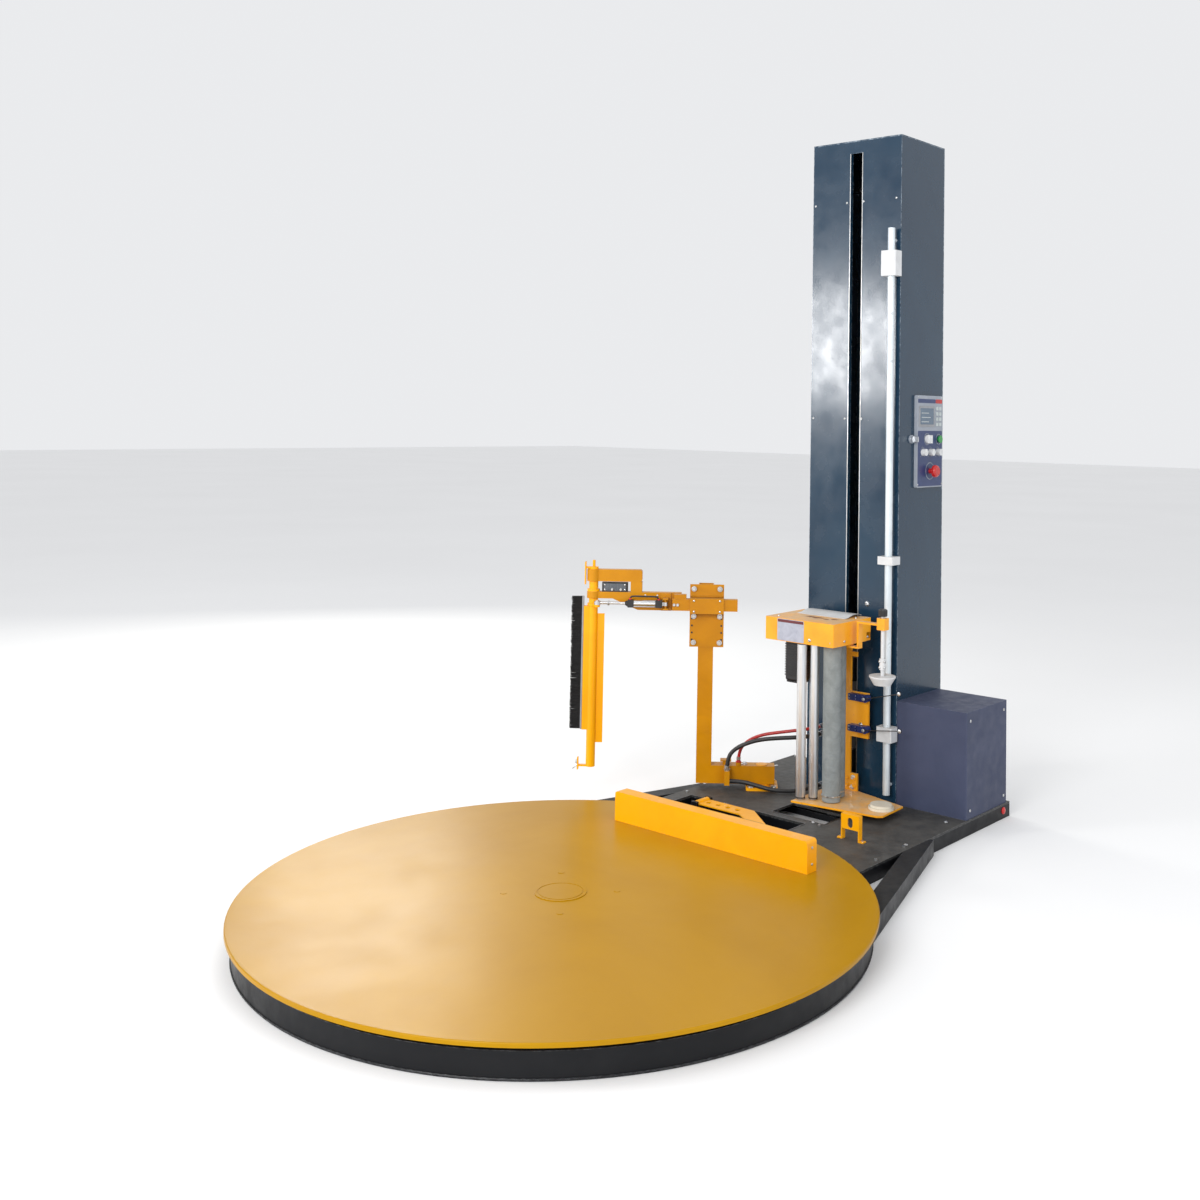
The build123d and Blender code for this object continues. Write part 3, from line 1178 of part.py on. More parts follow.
def hoses():
    """Air hoses from the mast to the wiper arm."""
    for name, (diameter, corners) in HOSES.items():
        line = hose_line(name, corners)
        section = Plane(origin=line @ 0, z_dir=line % 0) * Circle(diameter / 2)
        save(name, sweep(section, path=line))
    glands = []
    for diameter, corners in HOSES.values():
        for x, y, z in (corners[0], corners[-1]):
            if x + GLAND_LENGTH >= MAST_FRONT_X:
                glands.append(bar((x, y, z), (MAST_FRONT_X, y, z), diameter / 2 + 3))
    save("hose_glands", *glands)


def build_all():
    os.makedirs("parts", exist_ok=True)
    for make in (
        base_ring, base_frame, deck_plate, centre_spindle, clamp_pan, turntable_disc,
        centre_cap, fence_plate, ring_sprocket, support_rollers, drive_sprocket, chains,
        gearmotors, mast_shell, mast_covers, guide_rails, lift_sprockets, limit_pole,
        limit_dogs, drive_cover, control_panel, panel_controls, carriage_frame,
        carriage_housing, film_motor, rollers, trolley, limit_switches, switch_levers,
        chuck_arm, film_disc, chuck_cone, film_guide, deck_fasteners, pivot_bracket,
        wiper_arm, wiper_valve, wiper_post, wiper_brush, wiper_cylinder, clamp_arm, hoses,
    ):
        make()


build_all()
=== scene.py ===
import math
import random

import bmesh
import bpy
from mathutils import Matrix, Vector


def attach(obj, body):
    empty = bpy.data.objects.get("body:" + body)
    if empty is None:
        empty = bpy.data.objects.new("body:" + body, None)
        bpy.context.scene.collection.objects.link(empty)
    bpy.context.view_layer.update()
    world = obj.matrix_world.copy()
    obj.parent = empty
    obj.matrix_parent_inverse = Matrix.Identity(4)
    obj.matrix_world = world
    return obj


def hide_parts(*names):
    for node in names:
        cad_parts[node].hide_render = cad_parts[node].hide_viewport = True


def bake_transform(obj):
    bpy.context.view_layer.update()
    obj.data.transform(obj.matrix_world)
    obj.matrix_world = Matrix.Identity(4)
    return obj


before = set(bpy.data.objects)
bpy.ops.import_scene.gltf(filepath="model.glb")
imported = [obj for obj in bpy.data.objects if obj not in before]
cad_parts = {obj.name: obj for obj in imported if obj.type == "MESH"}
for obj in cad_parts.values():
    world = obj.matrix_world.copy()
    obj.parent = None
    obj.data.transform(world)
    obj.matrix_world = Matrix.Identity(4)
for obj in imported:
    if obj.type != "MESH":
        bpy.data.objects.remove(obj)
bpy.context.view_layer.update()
scene = bpy.context.scene
scene.view_settings.view_transform = "Standard"

# ---------------------------------------------------------------- camera
EYE = Vector((-2.4495, -2.4664, 1.3195))
FORWARD = Vector((0.77098, 0.63523, 0.04559)).normalized()
RIGHT = Vector((0.63522, -0.77215, 0.01646)).normalized()
LENS = 39.13
SHIFT = (-0.085, -0.2003)

camera_data = bpy.data.cameras.new("camera")
camera_data.sensor_width = 36
camera_data.lens = LENS
camera_data.shift_x, camera_data.shift_y = SHIFT
camera_data.clip_end = 100
camera = bpy.data.objects.new("camera", camera_data)
scene.collection.objects.link(camera)
up = RIGHT.cross(FORWARD)
camera.matrix_world = Matrix.Translation(EYE) @ Matrix((RIGHT, up, -FORWARD)).transposed().to_4x4()
scene.camera = camera


# ---------------------------------------------------------------- materials
class Nodes:
    """Short calls for building one material's nodes."""

    def __init__(self, name):
        self.material = bpy.data.materials.new(name)
        self.material.use_nodes = True
        self.tree = self.material.node_tree
        self.shader = self.tree.nodes["Principled BSDF"]
        self.place = self.add("ShaderNodeTexCoord").outputs["Object"]

    def add(self, kind, **settings):
        node = self.tree.nodes.new(kind)
        for key, value in settings.items():
            setattr(node, key, value)
        return node

    def link(self, source, target):
        self.tree.links.new(source, target)

    def put(self, socket, value):
        if isinstance(value, bpy.types.NodeSocket):
            self.link(value, socket)
        else:
            socket.default_value = value

    def stretch(self, scale):
        node = self.add("ShaderNodeMapping")
        self.link(self.place, node.inputs["Vector"])
        node.inputs["Scale"].default_value = scale
        return node.outputs["Vector"]

    def noise(self, scale, detail=4.0, rough=0.55, where=None, distort=0.0):
        node = self.add("ShaderNodeTexNoise")
        self.link(where or self.place, node.inputs["Vector"])
        node.inputs["Scale"].default_value = scale
        node.inputs["Detail"].default_value = detail
        node.inputs["Roughness"].default_value = rough
        node.inputs["Distortion"].default_value = distort
        return node.outputs["Fac"]

    def scale(self, value, low, high, out_low=0.0, out_high=1.0):
        node = self.add("ShaderNodeMapRange")
        for index, number in enumerate((value, low, high, out_low, out_high)):
            self.put(node.inputs[index], number)
        return node.outputs[0]

    def math(self, how, first, second=0.0):
        node = self.add("ShaderNodeMath", operation=how)
        self.put(node.inputs[0], first)
        self.put(node.inputs[1], second)
        return node.outputs[0]

    def mix(self, amount, first, second):
        node = self.add("ShaderNodeMix", data_type="RGBA")
        self.put(node.inputs[0], amount)
        for socket, value in ((node.inputs[6], first), (node.inputs[7], second)):
            self.put(socket, value if isinstance(value, bpy.types.NodeSocket) else (*value, 1))
        return node.outputs[2]

    def edges(self, radius):
        """1 on outer edges of the mesh and 0 on its flats."""
        soft = self.add("ShaderNodeBevel", samples=4)
        soft.inputs["Radius"].default_value = radius
        dot = self.add("ShaderNodeVectorMath", operation="DOT_PRODUCT")
        self.link(soft.outputs[0], dot.inputs[0])
        self.link(self.add("ShaderNodeNewGeometry").outputs["Normal"], dot.inputs[1])
        return self.scale(dot.outputs["Value"], 0.98, 0.75)

    def upward(self):
        """1 where the surface faces up and 0 where it is steep."""
        split = self.add("ShaderNodeSeparateXYZ")
        self.link(self.add("ShaderNodeNewGeometry").outputs["Normal"], split.inputs[0])
        return self.scale(split.outputs["Z"], 0.6, 0.95)

    def bump(self, height, strength, distance, before=None):
        node = self.add("ShaderNodeBump")
        node.inputs["Strength"].default_value = strength
        node.inputs["Distance"].default_value = distance
        self.link(height, node.inputs["Height"])
        if before is not None:
            self.link(before, node.inputs["Normal"])
        return node.outputs[0]

    def finish(self, colour, rough, normal, metal=0.0, coat=0.0, coat_rough=0.1, spec=0.5):
        shader = self.shader.inputs
        self.put(shader["Base Color"], colour)
        self.put(shader["Roughness"], rough)
        self.link(normal, shader["Normal"])
        shader["Metallic"].default_value = metal
        shader["Coat Weight"].default_value = coat
        shader["Coat Roughness"].default_value = coat_rough
        shader["Specular IOR Level"].default_value = spec
        return self.material


def paint(name, base, other, rough=0.35, patch=3.0, worn=None, edge_wear_and_highlight_amount=0.5, edge_wear_and_highlight_width=0.003,
          dust=None, dust_amount=0.6, grain=700.0, depth=0.00012, coat=0.3, spec=0.5,
          metal=0.0, spread=0.1, spots=None, coat_rough=0.12, wave=0.0):
    """Painted, moulded or bare surfaces: cloudy colour, fine grain, rubbed edges and dust. On the mast
    enamel the edge colour is also a painted highlight along its folded corners.
    """
    n = Nodes(name)
    cloud = n.scale(n.noise(patch, 6, 0.6, distort=0.6), 0.35, 0.68)
    fine = n.noise(grain, 3)
    colour = n.mix(cloud, base, other)
    gloss = n.scale(n.noise(patch * 5, 5), 0.3, 0.7, rough - spread, rough + spread)
    if dust:
        veil = n.math("MULTIPLY", n.upward(), n.scale(n.noise(14, 7, 0.7), 0.35, 0.6, 0.35, 1))
        veil = n.math("MULTIPLY", veil, dust_amount)
        colour = n.mix(veil, colour, dust)
        gloss = n.math("ADD", gloss, n.math("MULTIPLY", veil, 0.35))
    if spots:
        specks = n.scale(n.noise(55, 5, 0.7), 0.64, 0.7)
        colour = n.mix(n.math("MULTIPLY", specks, 0.75), colour, spots)
    # edge colour: rubbed paint, and on the mast enamel also a painted highlight along its folded
    # corners
    if worn:
        edge_wear_and_highlight = n.math("MULTIPLY", n.edges(edge_wear_and_highlight_width), n.scale(n.noise(70, 5, 0.7), 0.42, 0.6))
        edge_wear_and_highlight = n.math("MULTIPLY", edge_wear_and_highlight, edge_wear_and_highlight_amount)
        colour = n.mix(edge_wear_and_highlight, colour, worn)
    normal = n.bump(fine, 0.5, depth)
    if wave:
        normal = n.bump(n.noise(9, 2), 0.6, wave, normal)
    return n.finish(colour, gloss, normal, metal, coat, coat_rough, spec)


def metal(name, base, other, rough=0.3, lines=(6, 6, 400), worn=None):
    """Bare metal with drawn or turned lines along one direction."""
    n = Nodes(name)
    streak = n.noise(1.0, 4, 0.6, where=n.stretch(lines))
    cloud = n.noise(8, 5)
    colour = n.mix(n.scale(cloud, 0.35, 0.7), base, other)
    colour = n.mix(n.scale(streak, 0.3, 0.8, 0, 0.35), colour, [c * 0.55 for c in base])
    if worn:
        colour = n.mix(n.scale(n.noise(40, 6, 0.7), 0.6, 0.72, 0, 0.6), colour, worn)
    gloss = n.scale(streak, 0.2, 0.8, rough - 0.1, rough + 0.1)
    return n.finish(colour, gloss, n.bump(streak, 0.4, 0.00006), 1.0, 0.0)


yellow = paint("yellow_enamel", (0.95, 0.42, 0.0), (0.86, 0.36, 0.0), 0.38, 5, worn=(0.30, 0.16, 0.06),
               edge_wear_and_highlight_amount=0.55, edge_wear_and_highlight_width=0.0022, dust=(0.52, 0.33, 0.16), dust_amount=0.2, coat=0.12,
               spec=0.25)
yellow_dusty = paint("yellow_enamel_dusty", (0.95, 0.425, 0.01), (0.84, 0.33, 0.008), 0.4, 6,
                     worn=(0.55, 0.22, 0.03), edge_wear_and_highlight_amount=0.5, dust=(0.56, 0.38, 0.21), dust_amount=0.95,
                     spots=(0.42, 0.13, 0.03), coat=0.15, spec=0.4)
arm_yellow = paint("arm_enamel", (0.60, 0.25, 0.0), (0.48, 0.19, 0.0), 0.42, 5, worn=(0.22, 0.11, 0.04),
                   edge_wear_and_highlight_amount=0.6, edge_wear_and_highlight_width=0.0022, dust=(0.45, 0.3, 0.14), dust_amount=0.35, coat=0.08,
                   spec=0.22)
ochre = paint("disc_enamel", (0.44, 0.225, 0.0), (0.375, 0.185, 0.0), 0.33, 1.3, coat=0.06,
              coat_rough=0.34, spec=0.12, grain=420, depth=0.00006, spread=0.03)
# pale edge colour here: rubbed paint and a painted highlight along the mast's folded corners
navy = paint("mast_enamel", (0.006, 0.027, 0.056), (0.010, 0.038, 0.072), 0.24, 2.2,
             worn=(0.50, 0.58, 0.66),
             edge_wear_and_highlight_amount=0.85, edge_wear_and_highlight_width=0.004, coat=0.35, coat_rough=0.14, spec=0.38, wave=0.0006, grain=500)
powder = paint("powder_coat", (0.052, 0.063, 0.115), (0.040, 0.050, 0.095), 0.55, 6,
               worn=(0.24, 0.27, 0.34), edge_wear_and_highlight_amount=0.5, grain=520, depth=0.0006, coat=0.0, spec=0.35)
black = paint("black_enamel", (0.003, 0.0035, 0.005), (0.007, 0.0075, 0.009), 0.42, 5,
              worn=(0.12, 0.125, 0.135),
              edge_wear_and_highlight_amount=0.8, edge_wear_and_highlight_width=0.004, dust=(0.05, 0.048, 0.044), dust_amount=0.45, coat=0.05,
              spec=0.2)
deck_black = paint("deck_enamel", (0.013, 0.014, 0.015), (0.030, 0.030, 0.030), 0.5, 9,
                   worn=(0.24, 0.24, 0.23),
                   edge_wear_and_highlight_amount=0.8, edge_wear_and_highlight_width=0.004, dust=(0.10, 0.095, 0.085), dust_amount=0.55, coat=0.05,
                   spec=0.4, depth=0.0003)
plastic_black = paint("black_moulding", (0.012, 0.012, 0.013), (0.020, 0.020, 0.022), 0.45, 20,
                      worn=(0.08, 0.08, 0.085), edge_wear_and_highlight_amount=0.5, grain=1400, depth=0.00015, coat=0.0)
plastic_white = paint("white_moulding", (0.68, 0.69, 0.70), (0.58, 0.59, 0.60), 0.4, 20,
                      worn=(0.42, 0.42, 0.42), edge_wear_and_highlight_amount=0.4, grain=1200, dust=(0.45, 0.43, 0.4), coat=0.05)
plastic_cream = paint("cream_moulding", (0.74, 0.70, 0.60), (0.66, 0.60, 0.48), 0.42, 18,
                      worn=(0.4, 0.34, 0.25), edge_wear_and_highlight_amount=0.5, grain=1100, dust=(0.45, 0.38, 0.28), coat=0.05)
plastic_blue = paint("blue_moulding", (0.012, 0.022, 0.11), (0.02, 0.035, 0.15), 0.35, 20,
                     worn=(0.1, 0.13, 0.26), edge_wear_and_highlight_amount=0.5, grain=1200, coat=0.2)
plastic_red = paint("red_moulding", (0.55, 0.012, 0.010), (0.42, 0.008, 0.008), 0.3, 20,
                    worn=(0.75, 0.2, 0.16), edge_wear_and_highlight_amount=0.4, grain=1200, coat=0.4)
plastic_green = paint("green_moulding", (0.02, 0.30, 0.05), (0.015, 0.22, 0.04), 0.3, 20,
                      worn=(0.2, 0.5, 0.25), edge_wear_and_highlight_amount=0.4, grain=1200, coat=0.4)
plastic_grey = paint("grey_moulding", (0.30, 0.31, 0.33), (0.24, 0.25, 0.27), 0.42, 20,
                     worn=(0.5, 0.5, 0.5), edge_wear_and_highlight_amount=0.4, grain=1200, coat=0.05)
rubber = paint("roller_rubber", (0.27, 0.295, 0.295), (0.20, 0.22, 0.22), 0.62, 30,
               worn=(0.22, 0.23, 0.235),
               edge_wear_and_highlight_amount=0.4, dust=(0.2, 0.2, 0.19), grain=2200, depth=0.0004, coat=0.0, spec=0.3)
hose_rubber = paint("hose_rubber", (0.012, 0.012, 0.013), (0.026, 0.026, 0.027), 0.46, 40,
                    worn=None, dust=(0.09, 0.085, 0.08), dust_amount=0.35, grain=1800, depth=0.0003,
                    coat=0.0)
hose_red_rubber = paint("hose_red_rubber", (0.46, 0.012, 0.010), (0.34, 0.01, 0.01), 0.4, 40,
                        dust=(0.4, 0.2, 0.16), dust_amount=0.3, grain=1800, depth=0.0003, coat=0.1)
silver = metal("drawn_steel", (0.66, 0.67, 0.68), (0.55, 0.56, 0.58), 0.3, (6, 6, 260),
               worn=(0.30, 0.27, 0.24))
silver_up = metal("turned_steel", (0.84, 0.86, 0.88), (0.72, 0.74, 0.77), 0.36, (420, 420, 5))
pole_metal = paint("pole_aluminium", (0.70, 0.76, 0.80), (0.58, 0.64, 0.68), 0.36, 9, grain=900,
                   metal=0.3, worn=(0.4, 0.42, 0.44), edge_wear_and_highlight_amount=0.5, coat=0.1)
zinc = metal("zinc_plate", (0.62, 0.63, 0.66), (0.48, 0.47, 0.42), 0.38, (60, 60, 60),
             worn=(0.28, 0.2, 0.12))
dark_steel = metal("dark_steel", (0.10, 0.10, 0.105), (0.17, 0.165, 0.16), 0.42, (30, 30, 90),
                   worn=(0.12, 0.06, 0.03))
bolt_metal = metal("bolt_zinc", (0.70, 0.71, 0.73), (0.56, 0.56, 0.54), 0.3, (150, 150, 40),
                   worn=(0.30, 0.20, 0.11))
cast = paint("cast_paint", (0.085, 0.10, 0.12), (0.06, 0.07, 0.085), 0.5, 12, worn=(0.3, 0.3, 0.3),
             edge_wear_and_highlight_amount=0.6, grain=260, depth=0.0007, dust=(0.14, 0.13, 0.12))
panel_face = paint("panel_print", (0.33, 0.36, 0.41), (0.27, 0.30, 0.35), 0.42, 14,
                   worn=(0.5, 0.5, 0.5), grain=900, coat=0.1)

COATS = {
    yellow: ("fence_plate", "wiper_post", "clamp_arm", "film_guide", "pivot_bracket"),
    yellow_dusty: ("carriage_frame", "carriage_housing", "chuck_arm"),
    arm_yellow: ("wiper_arm",),
    ochre: ("turntable_disc", "centre_cap"),
    navy: ("mast_shell", "mast_covers"),
    powder: ("drive_cover",),
    black: ("base_ring", "base_frame", "clamp_pan"),
    deck_black: ("deck_plate",),
    cast: ("gearmotors", "support_roller_1", "support_roller_2", "support_roller_3",
           "support_roller_4"),
    dark_steel: ("chains", "trolley", "switch_lever_1", "switch_lever_2", "ring_sprocket",
                 "centre_spindle"),
    zinc: ("guide_rails", "drive_sprocket", "lift_drive_sprocket", "lift_top_sprocket", "hose_glands"),
    bolt_metal: ("deck_fasteners",),
    pole_metal: ("limit_pole",),
    silver_up: ("idler_roller_1", "idler_roller_2", "key_switch"),
    silver: ("wiper_cylinder", "cylinder_rod"),
    rubber: ("stretch_roller_1", "stretch_roller_2"),
    plastic_white: ("limit_dogs", "chuck_cone", "selector_knob", "dial_1", "dial_2", "dial_3"),
    plastic_black: ("film_motor", "wiper_valve", "wiper_brush"),
    plastic_cream: ("film_disc",),
    plastic_blue: ("limit_switches",),
    plastic_red: ("estop_button",),
    plastic_green: ("start_button",),
    panel_face: ("control_panel",),
}
for material, names in COATS.items():
    for name in names:
        for index in range(len(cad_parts[name].material_slots)):
            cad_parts[name].material_slots[index].material = material


# ---------------------------------------------------------------- mesh helpers
SMOOTH_ANGLE = 35  # edges sharper than this many degrees stay crisp
CORNER_STEPS = 5


def put(name, build, body, material, bevel=0.0):
    """One piece from a bmesh: material, soft edges, shading by angle, and the body that it rides on."""
    mesh = bpy.data.meshes.new(name)
    bmesh.ops.recalc_face_normals(build, faces=build.faces)
    for face in build.faces:
        face.smooth = True
    limit = math.radians(SMOOTH_ANGLE)
    for edge in build.edges:
        if len(edge.link_faces) == 2 and edge.calc_face_angle(0) > limit:
            edge.smooth = False
    build.to_mesh(mesh)
    build.free()
    mesh.materials.append(material)
    obj = bpy.data.objects.new(name, mesh)
    scene.collection.objects.link(obj)
    if bevel:
        soft = obj.modifiers.new("soft", "BEVEL")
        soft.width = bevel
        soft.segments = 2
        soft.limit_method = "ANGLE"
    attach(obj, body)
    return obj


def basis(axis):
    """Two directions square to axis, and axis."""
    axis = Vector(axis).normalized()
    first = axis.cross(Vector((0, 0, 1)))
    if first.length < 0.1:
        first = Vector((1, 0, 0))
    first.normalize()
    return first, axis.cross(first), axis


def spin(build, origin, axis, profile, steps=32):
    """Turns (radius, height) pairs about axis. A radius of 0 closes an end."""
    a, b, c = basis(axis)
    origin = Vector(origin)
    rings = []
    for radius, height in profile:
        centre = origin + c * height
        if radius <= 0:
            rings.append([build.verts.new(centre)])
            continue
        ring = []
        for i in range(steps):
            angle = 2 * math.pi * i / steps
            ring.append(build.verts.new(centre + (a * math.cos(angle) + b * math.sin(angle)) * radius))
        rings.append(ring)
    for low, high in zip(rings, rings[1:]):
        for i in range(steps):
            j = (i + 1) % steps
            if len(low) == 1:
                build.faces.new((low[0], high[i], high[j]))
            elif len(high) == 1:
                build.faces.new((low[i], low[j], high[0]))
            else:
                build.faces.new((low[i], low[j], high[j], high[i]))
    for ring in (rings[0], rings[-1]):
        if len(ring) > 1 and rings[0] is not rings[-1]:
            build.faces.new(ring)


def slab(build, corners, axis, low, high):
    """A flat outline in the two directions square to axis, pulled from low to high."""
    a, b, c = (Vector(v) for v in {
        "X": ((0, 1, 0), (0, 0, 1), (1, 0, 0)),
        "Y": ((1, 0, 0), (0, 0, 1), (0, 1, 0)),
        "Z": ((1, 0, 0), (0, 1, 0), (0, 0, 1)),
    }[axis])
    ends = [[build.verts.new(a * u + b * v + c * h) for u, v in corners] for h in (low, high)]
    build.faces.new(ends[0])
    build.faces.new(ends[1])
    for i in range(len(corners)):
        j = (i + 1) % len(corners)
        build.faces.new((ends[0][i], ends[0][j], ends[1][j], ends[1][i]))


def rounded(low, high, radius):
    """A rectangle's outline with round corners."""
    points = []
    for cx, cy, start in ((high[0] - radius, high[1] - radius, 0),
                          (low[0] + radius, high[1] - radius, 90),
                          (low[0] + radius, low[1] + radius, 180),
                          (high[0] - radius, low[1] + radius, 270)):
        for i in range(CORNER_STEPS + 1):
            angle = math.radians(start + 90 * i / CORNER_STEPS)
            points.append((cx + radius * math.cos(angle), cy + radius * math.sin(angle)))
    return points


def hex_bolt(build, origin, axis, across=0.013, height=0.006, washer=True):
    """A washer with a chamfered hexagon head on it."""
    start = 0.0
    if washer:
        spin(build, origin, axis, [(across * 0.85, 0), (across * 0.85, 0.0012), (across * 0.8, 0.0018),
                                   (0, 0.0018)], 24)
        start = 0.0018
    r = across / 1.732
    spin(build, origin, axis, [(r, start), (r, start + height * 0.8), (r * 0.86, start + height),
                               (0, start + height)], 6)


def round_screw(build, origin, axis, radius=0.004, height=0.0025):
    """A domed head with a socket."""
    spin(build, origin, axis, [(radius, 0), (radius, height * 0.4), (radius * 0.8, height * 0.85),
                               (radius * 0.45, height), (radius * 0.4, height * 0.35),
                               (0, height * 0.35)], 16)


def line_points(points):
    """Points along the smooth line that follows a route."""
    curve = bpy.data.curves.new("route", "CURVE")
    curve.dimensions = "3D"
    spline = curve.splines.new("NURBS")
    spline.points.add(len(points) - 1)
    for knot, point in zip(spline.points, points):
        knot.co = (*point, 1)
    spline.order_u = 3
    spline.use_endpoint_u = True
    spline.resolution_u = 12
    curve.resolution_u = 12
    holder = bpy.data.objects.new("route", curve)
    scene.collection.objects.link(holder)
    bpy.context.view_layer.update()
    depsgraph = bpy.context.evaluated_depsgraph_get()
    mesh = bpy.data.meshes.new_from_object(holder.evaluated_get(depsgraph))
    found = [vertex.co.copy() for vertex in mesh.vertices]
    bpy.data.objects.remove(holder)
    bpy.data.curves.remove(curve)
    bpy.data.meshes.remove(mesh)
    return found


def pipe(build, points, radius, steps=16):
    """A round tube along points."""
    points = [Vector(p) for p in points]
    forward = (points[1] - points[0]).normalized()
    side = basis(forward)[0]
    rings = []
    for i, point in enumerate(points):
        before = points[max(i - 1, 0)]
        after = points[min(i + 1, len(points) - 1)]
        forward = (after - before).normalized()
        side = (side - forward * side.dot(forward)).normalized()
        other = forward.cross(side)
        rings.append([build.verts.new(point + (side * math.cos(t) + other * math.sin(t)) * radius)
                      for t in (2 * math.pi * k / steps for k in range(steps))])
    for low, high in zip(rings, rings[1:]):
        for k in range(steps):
            m = (k + 1) % steps
            build.faces.new((low[k], low[m], high[m], high[k]))
    build.faces.new(rings[0])
    build.faces.new(rings[-1])


# ---------------------------------------------------------------- air hoses
ROUTES = {
    "hose_feed": (0.014, [(1.357, .104, .240), (1.306, .104, .240), (1.254, .136, .238),
                          (1.222, .194, .232), (1.186, .256, .222), (1.150, .312, .196),
                          (1.129, .3407, .160), (1.129, .3407, .114)]),
    "hose_return": (0.014, [(1.1346, .3336, .078), (1.1629, .2986, .078), (1.182, .250, .068),
                            (1.206, .196, .057), (1.256, .138, .056), (1.312, .104, .066),
                            (1.357, .104, .066)]),
    "hose_red": (0.011, [(1.357, .108, .264), (1.312, .108, .264), (1.268, .146, .258),
                         (1.240, .206, .246), (1.214, .258, .234), (1.192, .300, .212),
                         (1.174, .326, .177), (1.174, .326, .137)]),
}


for name, (diameter, route) in ROUTES.items():
    points = line_points(route)
    b = bmesh.new()
    pipe(b, points, diameter / 2, 20)
    colour = hose_red_rubber if name == "hose_red" else hose_rubber
    hose = put(name + "_tube", b, "base", colour)
    matrix = hose.matrix_world.copy()
    hose.parent = None
    hose.matrix_world = matrix
    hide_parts(name)
    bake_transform(hose)

# ---------------------------------------------------------------- mast and base details
DECK = 0.048
MAST_FRONT = 1.377
MAST_BACK = 1.673
MAST_SIDE = 0.181
COVER_SIDE = -0.442
COVER_BACK = 1.658
SLOT_HALF = 0.0235
SLOT_ENDS = (0.07, 2.257)

b = bmesh.new()
for side in (-1, 1):
    for y in (0.034, 0.166):
        for z in (0.56, 1.33, 2.085):
            if not (side == -1 and y > 0.1 and z < 2):
                across = side * y + (0.004 if z > 1 else 0)
                round_screw(b, (MAST_FRONT, across, z), (-1, 0, 0), 0.0045, 0.003)
for z in (0.14, 0.5, 0.9, 1.3, 1.7, 2.1):
    for y in (-0.165, 0.165):
        round_screw(b, (MAST_BACK, y, z), (1, 0, 0), 0.005, 0.003)
    round_screw(b, (1.64, MAST_SIDE, z), (0, 1, 0), 0.0045, 0.003)
round_screw(b, (MAST_FRONT, -0.0627, 0.7), (-1, 0, 0), 0.009, 0.006)
put("mast_screws", b, "base", bolt_metal)

b = bmesh.new()
for side in (-1, 1):
    inner, outer = side * SLOT_HALF, side * (SLOT_HALF + 0.003)
    low, high = SLOT_ENDS
    slab(b, [(inner, low), (outer, low), (outer, high), (inner, high)], "X", MAST_FRONT - 0.0013,
         MAST_FRONT)
put("slot_trim", b, "base", zinc, 0.0004)

b = bmesh.new()
for x in (1.43, 1.62):
    hex_bolt(b, (x, MAST_SIDE + 0.014, DECK), (0, 0, 1), 0.017, 0.008)
for y in (-0.14, -0.09, 0.09, 0.14):
    hex_bolt(b, (MAST_FRONT - 0.011, y, DECK), (0, 0, 1), 0.012, 0.006)
put("mast_foot_bolts", b, "base", bolt_metal)

# vents in the rear cover
b = bmesh.new()
for k in range(7):
    z = 1.96 + 0.018 * k
    slab(b, rounded((-0.07, z), (0.07, z + 0.006), 0.0028), "X", MAST_BACK - 0.0005, MAST_BACK + 0.0015)
put("rear_vents", b, "base", plastic_black)

# drive cover screws and side vents
b = bmesh.new()
for x in (1.40, 1.635):
    round_screw(b, (x, COVER_SIDE, 0.075), (0, -1, 0), 0.005, 0.003)
    round_screw(b, (x, COVER_SIDE, 0.36), (0, -1, 0), 0.005, 0.003)
for y in (-0.42, -0.205):
    round_screw(b, (COVER_BACK, y, 0.075), (1, 0, 0), 0.005, 0.003)
    round_screw(b, (COVER_BACK, y, 0.36), (1, 0, 0), 0.005, 0.003)
put("cover_screws", b, "base", bolt_metal)
b = bmesh.new()
for k in range(6):
    z = 0.15 + 0.016 * k
    slab(b, rounded((-0.37, z), (-0.25, z + 0.006), 0.0028), "X", COVER_BACK - 0.0005,
         COVER_BACK + 0.0012)
put("cover_vents", b, "base", plastic_black)

# red lens at the end of the side channel
b = bmesh.new()
spin(b, (1.63, -0.4449, 0.026), (0, -1, 0), [(0.012, 0), (0.012, 0.002), (0.0095, 0.0045),
                                             (0.005, 0.006), (0, 0.0064)], 24)
put("channel_lens", b, "base", plastic_red)

# deck screws and the cover seams
b = bmesh.new()
for x, y in ((1.03, -0.088), (1.038, -0.42), (1.32, -0.40), (1.20, 0.40), (0.83, 0.41), (1.50, 0.40),
             (1.34, 0.30)):
    round_screw(b, (x, y, DECK), (0, 0, 1), 0.0065, 0.0035)
put("deck_screws", b, "base", bolt_metal)
b = bmesh.new()
for corners in (((0.842, -0.079), (0.846, 0.393)), ((1.001, -0.079), (1.005, 0.393))):
    (x0, y0), (x1, y1) = corners
    slab(b, [(x0, y0), (x1, y0), (x1, y1), (x0, y1)], "Z", DECK - 0.0002, DECK + 0.0012)
for y0 in (-0.079, 0.389):
    slab(b, [(0.846, y0), (1.001, y0), (1.001, y0 + 0.004), (0.846, y0 + 0.004)], "Z", DECK - 0.0002,
         DECK + 0.0012)
for x0, x1, y0, y1 in ((1.032, 1.161, -0.129, -0.125), (1.032, 1.161, 0.079, 0.083),
                       (1.032, 1.036, -0.125, 0.079), (1.157, 1.161, -0.125, 0.079)):
    slab(b, [(x0, y0), (x1, y0), (x1, y1), (x0, y1)], "Z", DECK - 0.0002, DECK + 0.0012)
put("deck_edge_strips", b, "base", dark_steel, 0.0004)

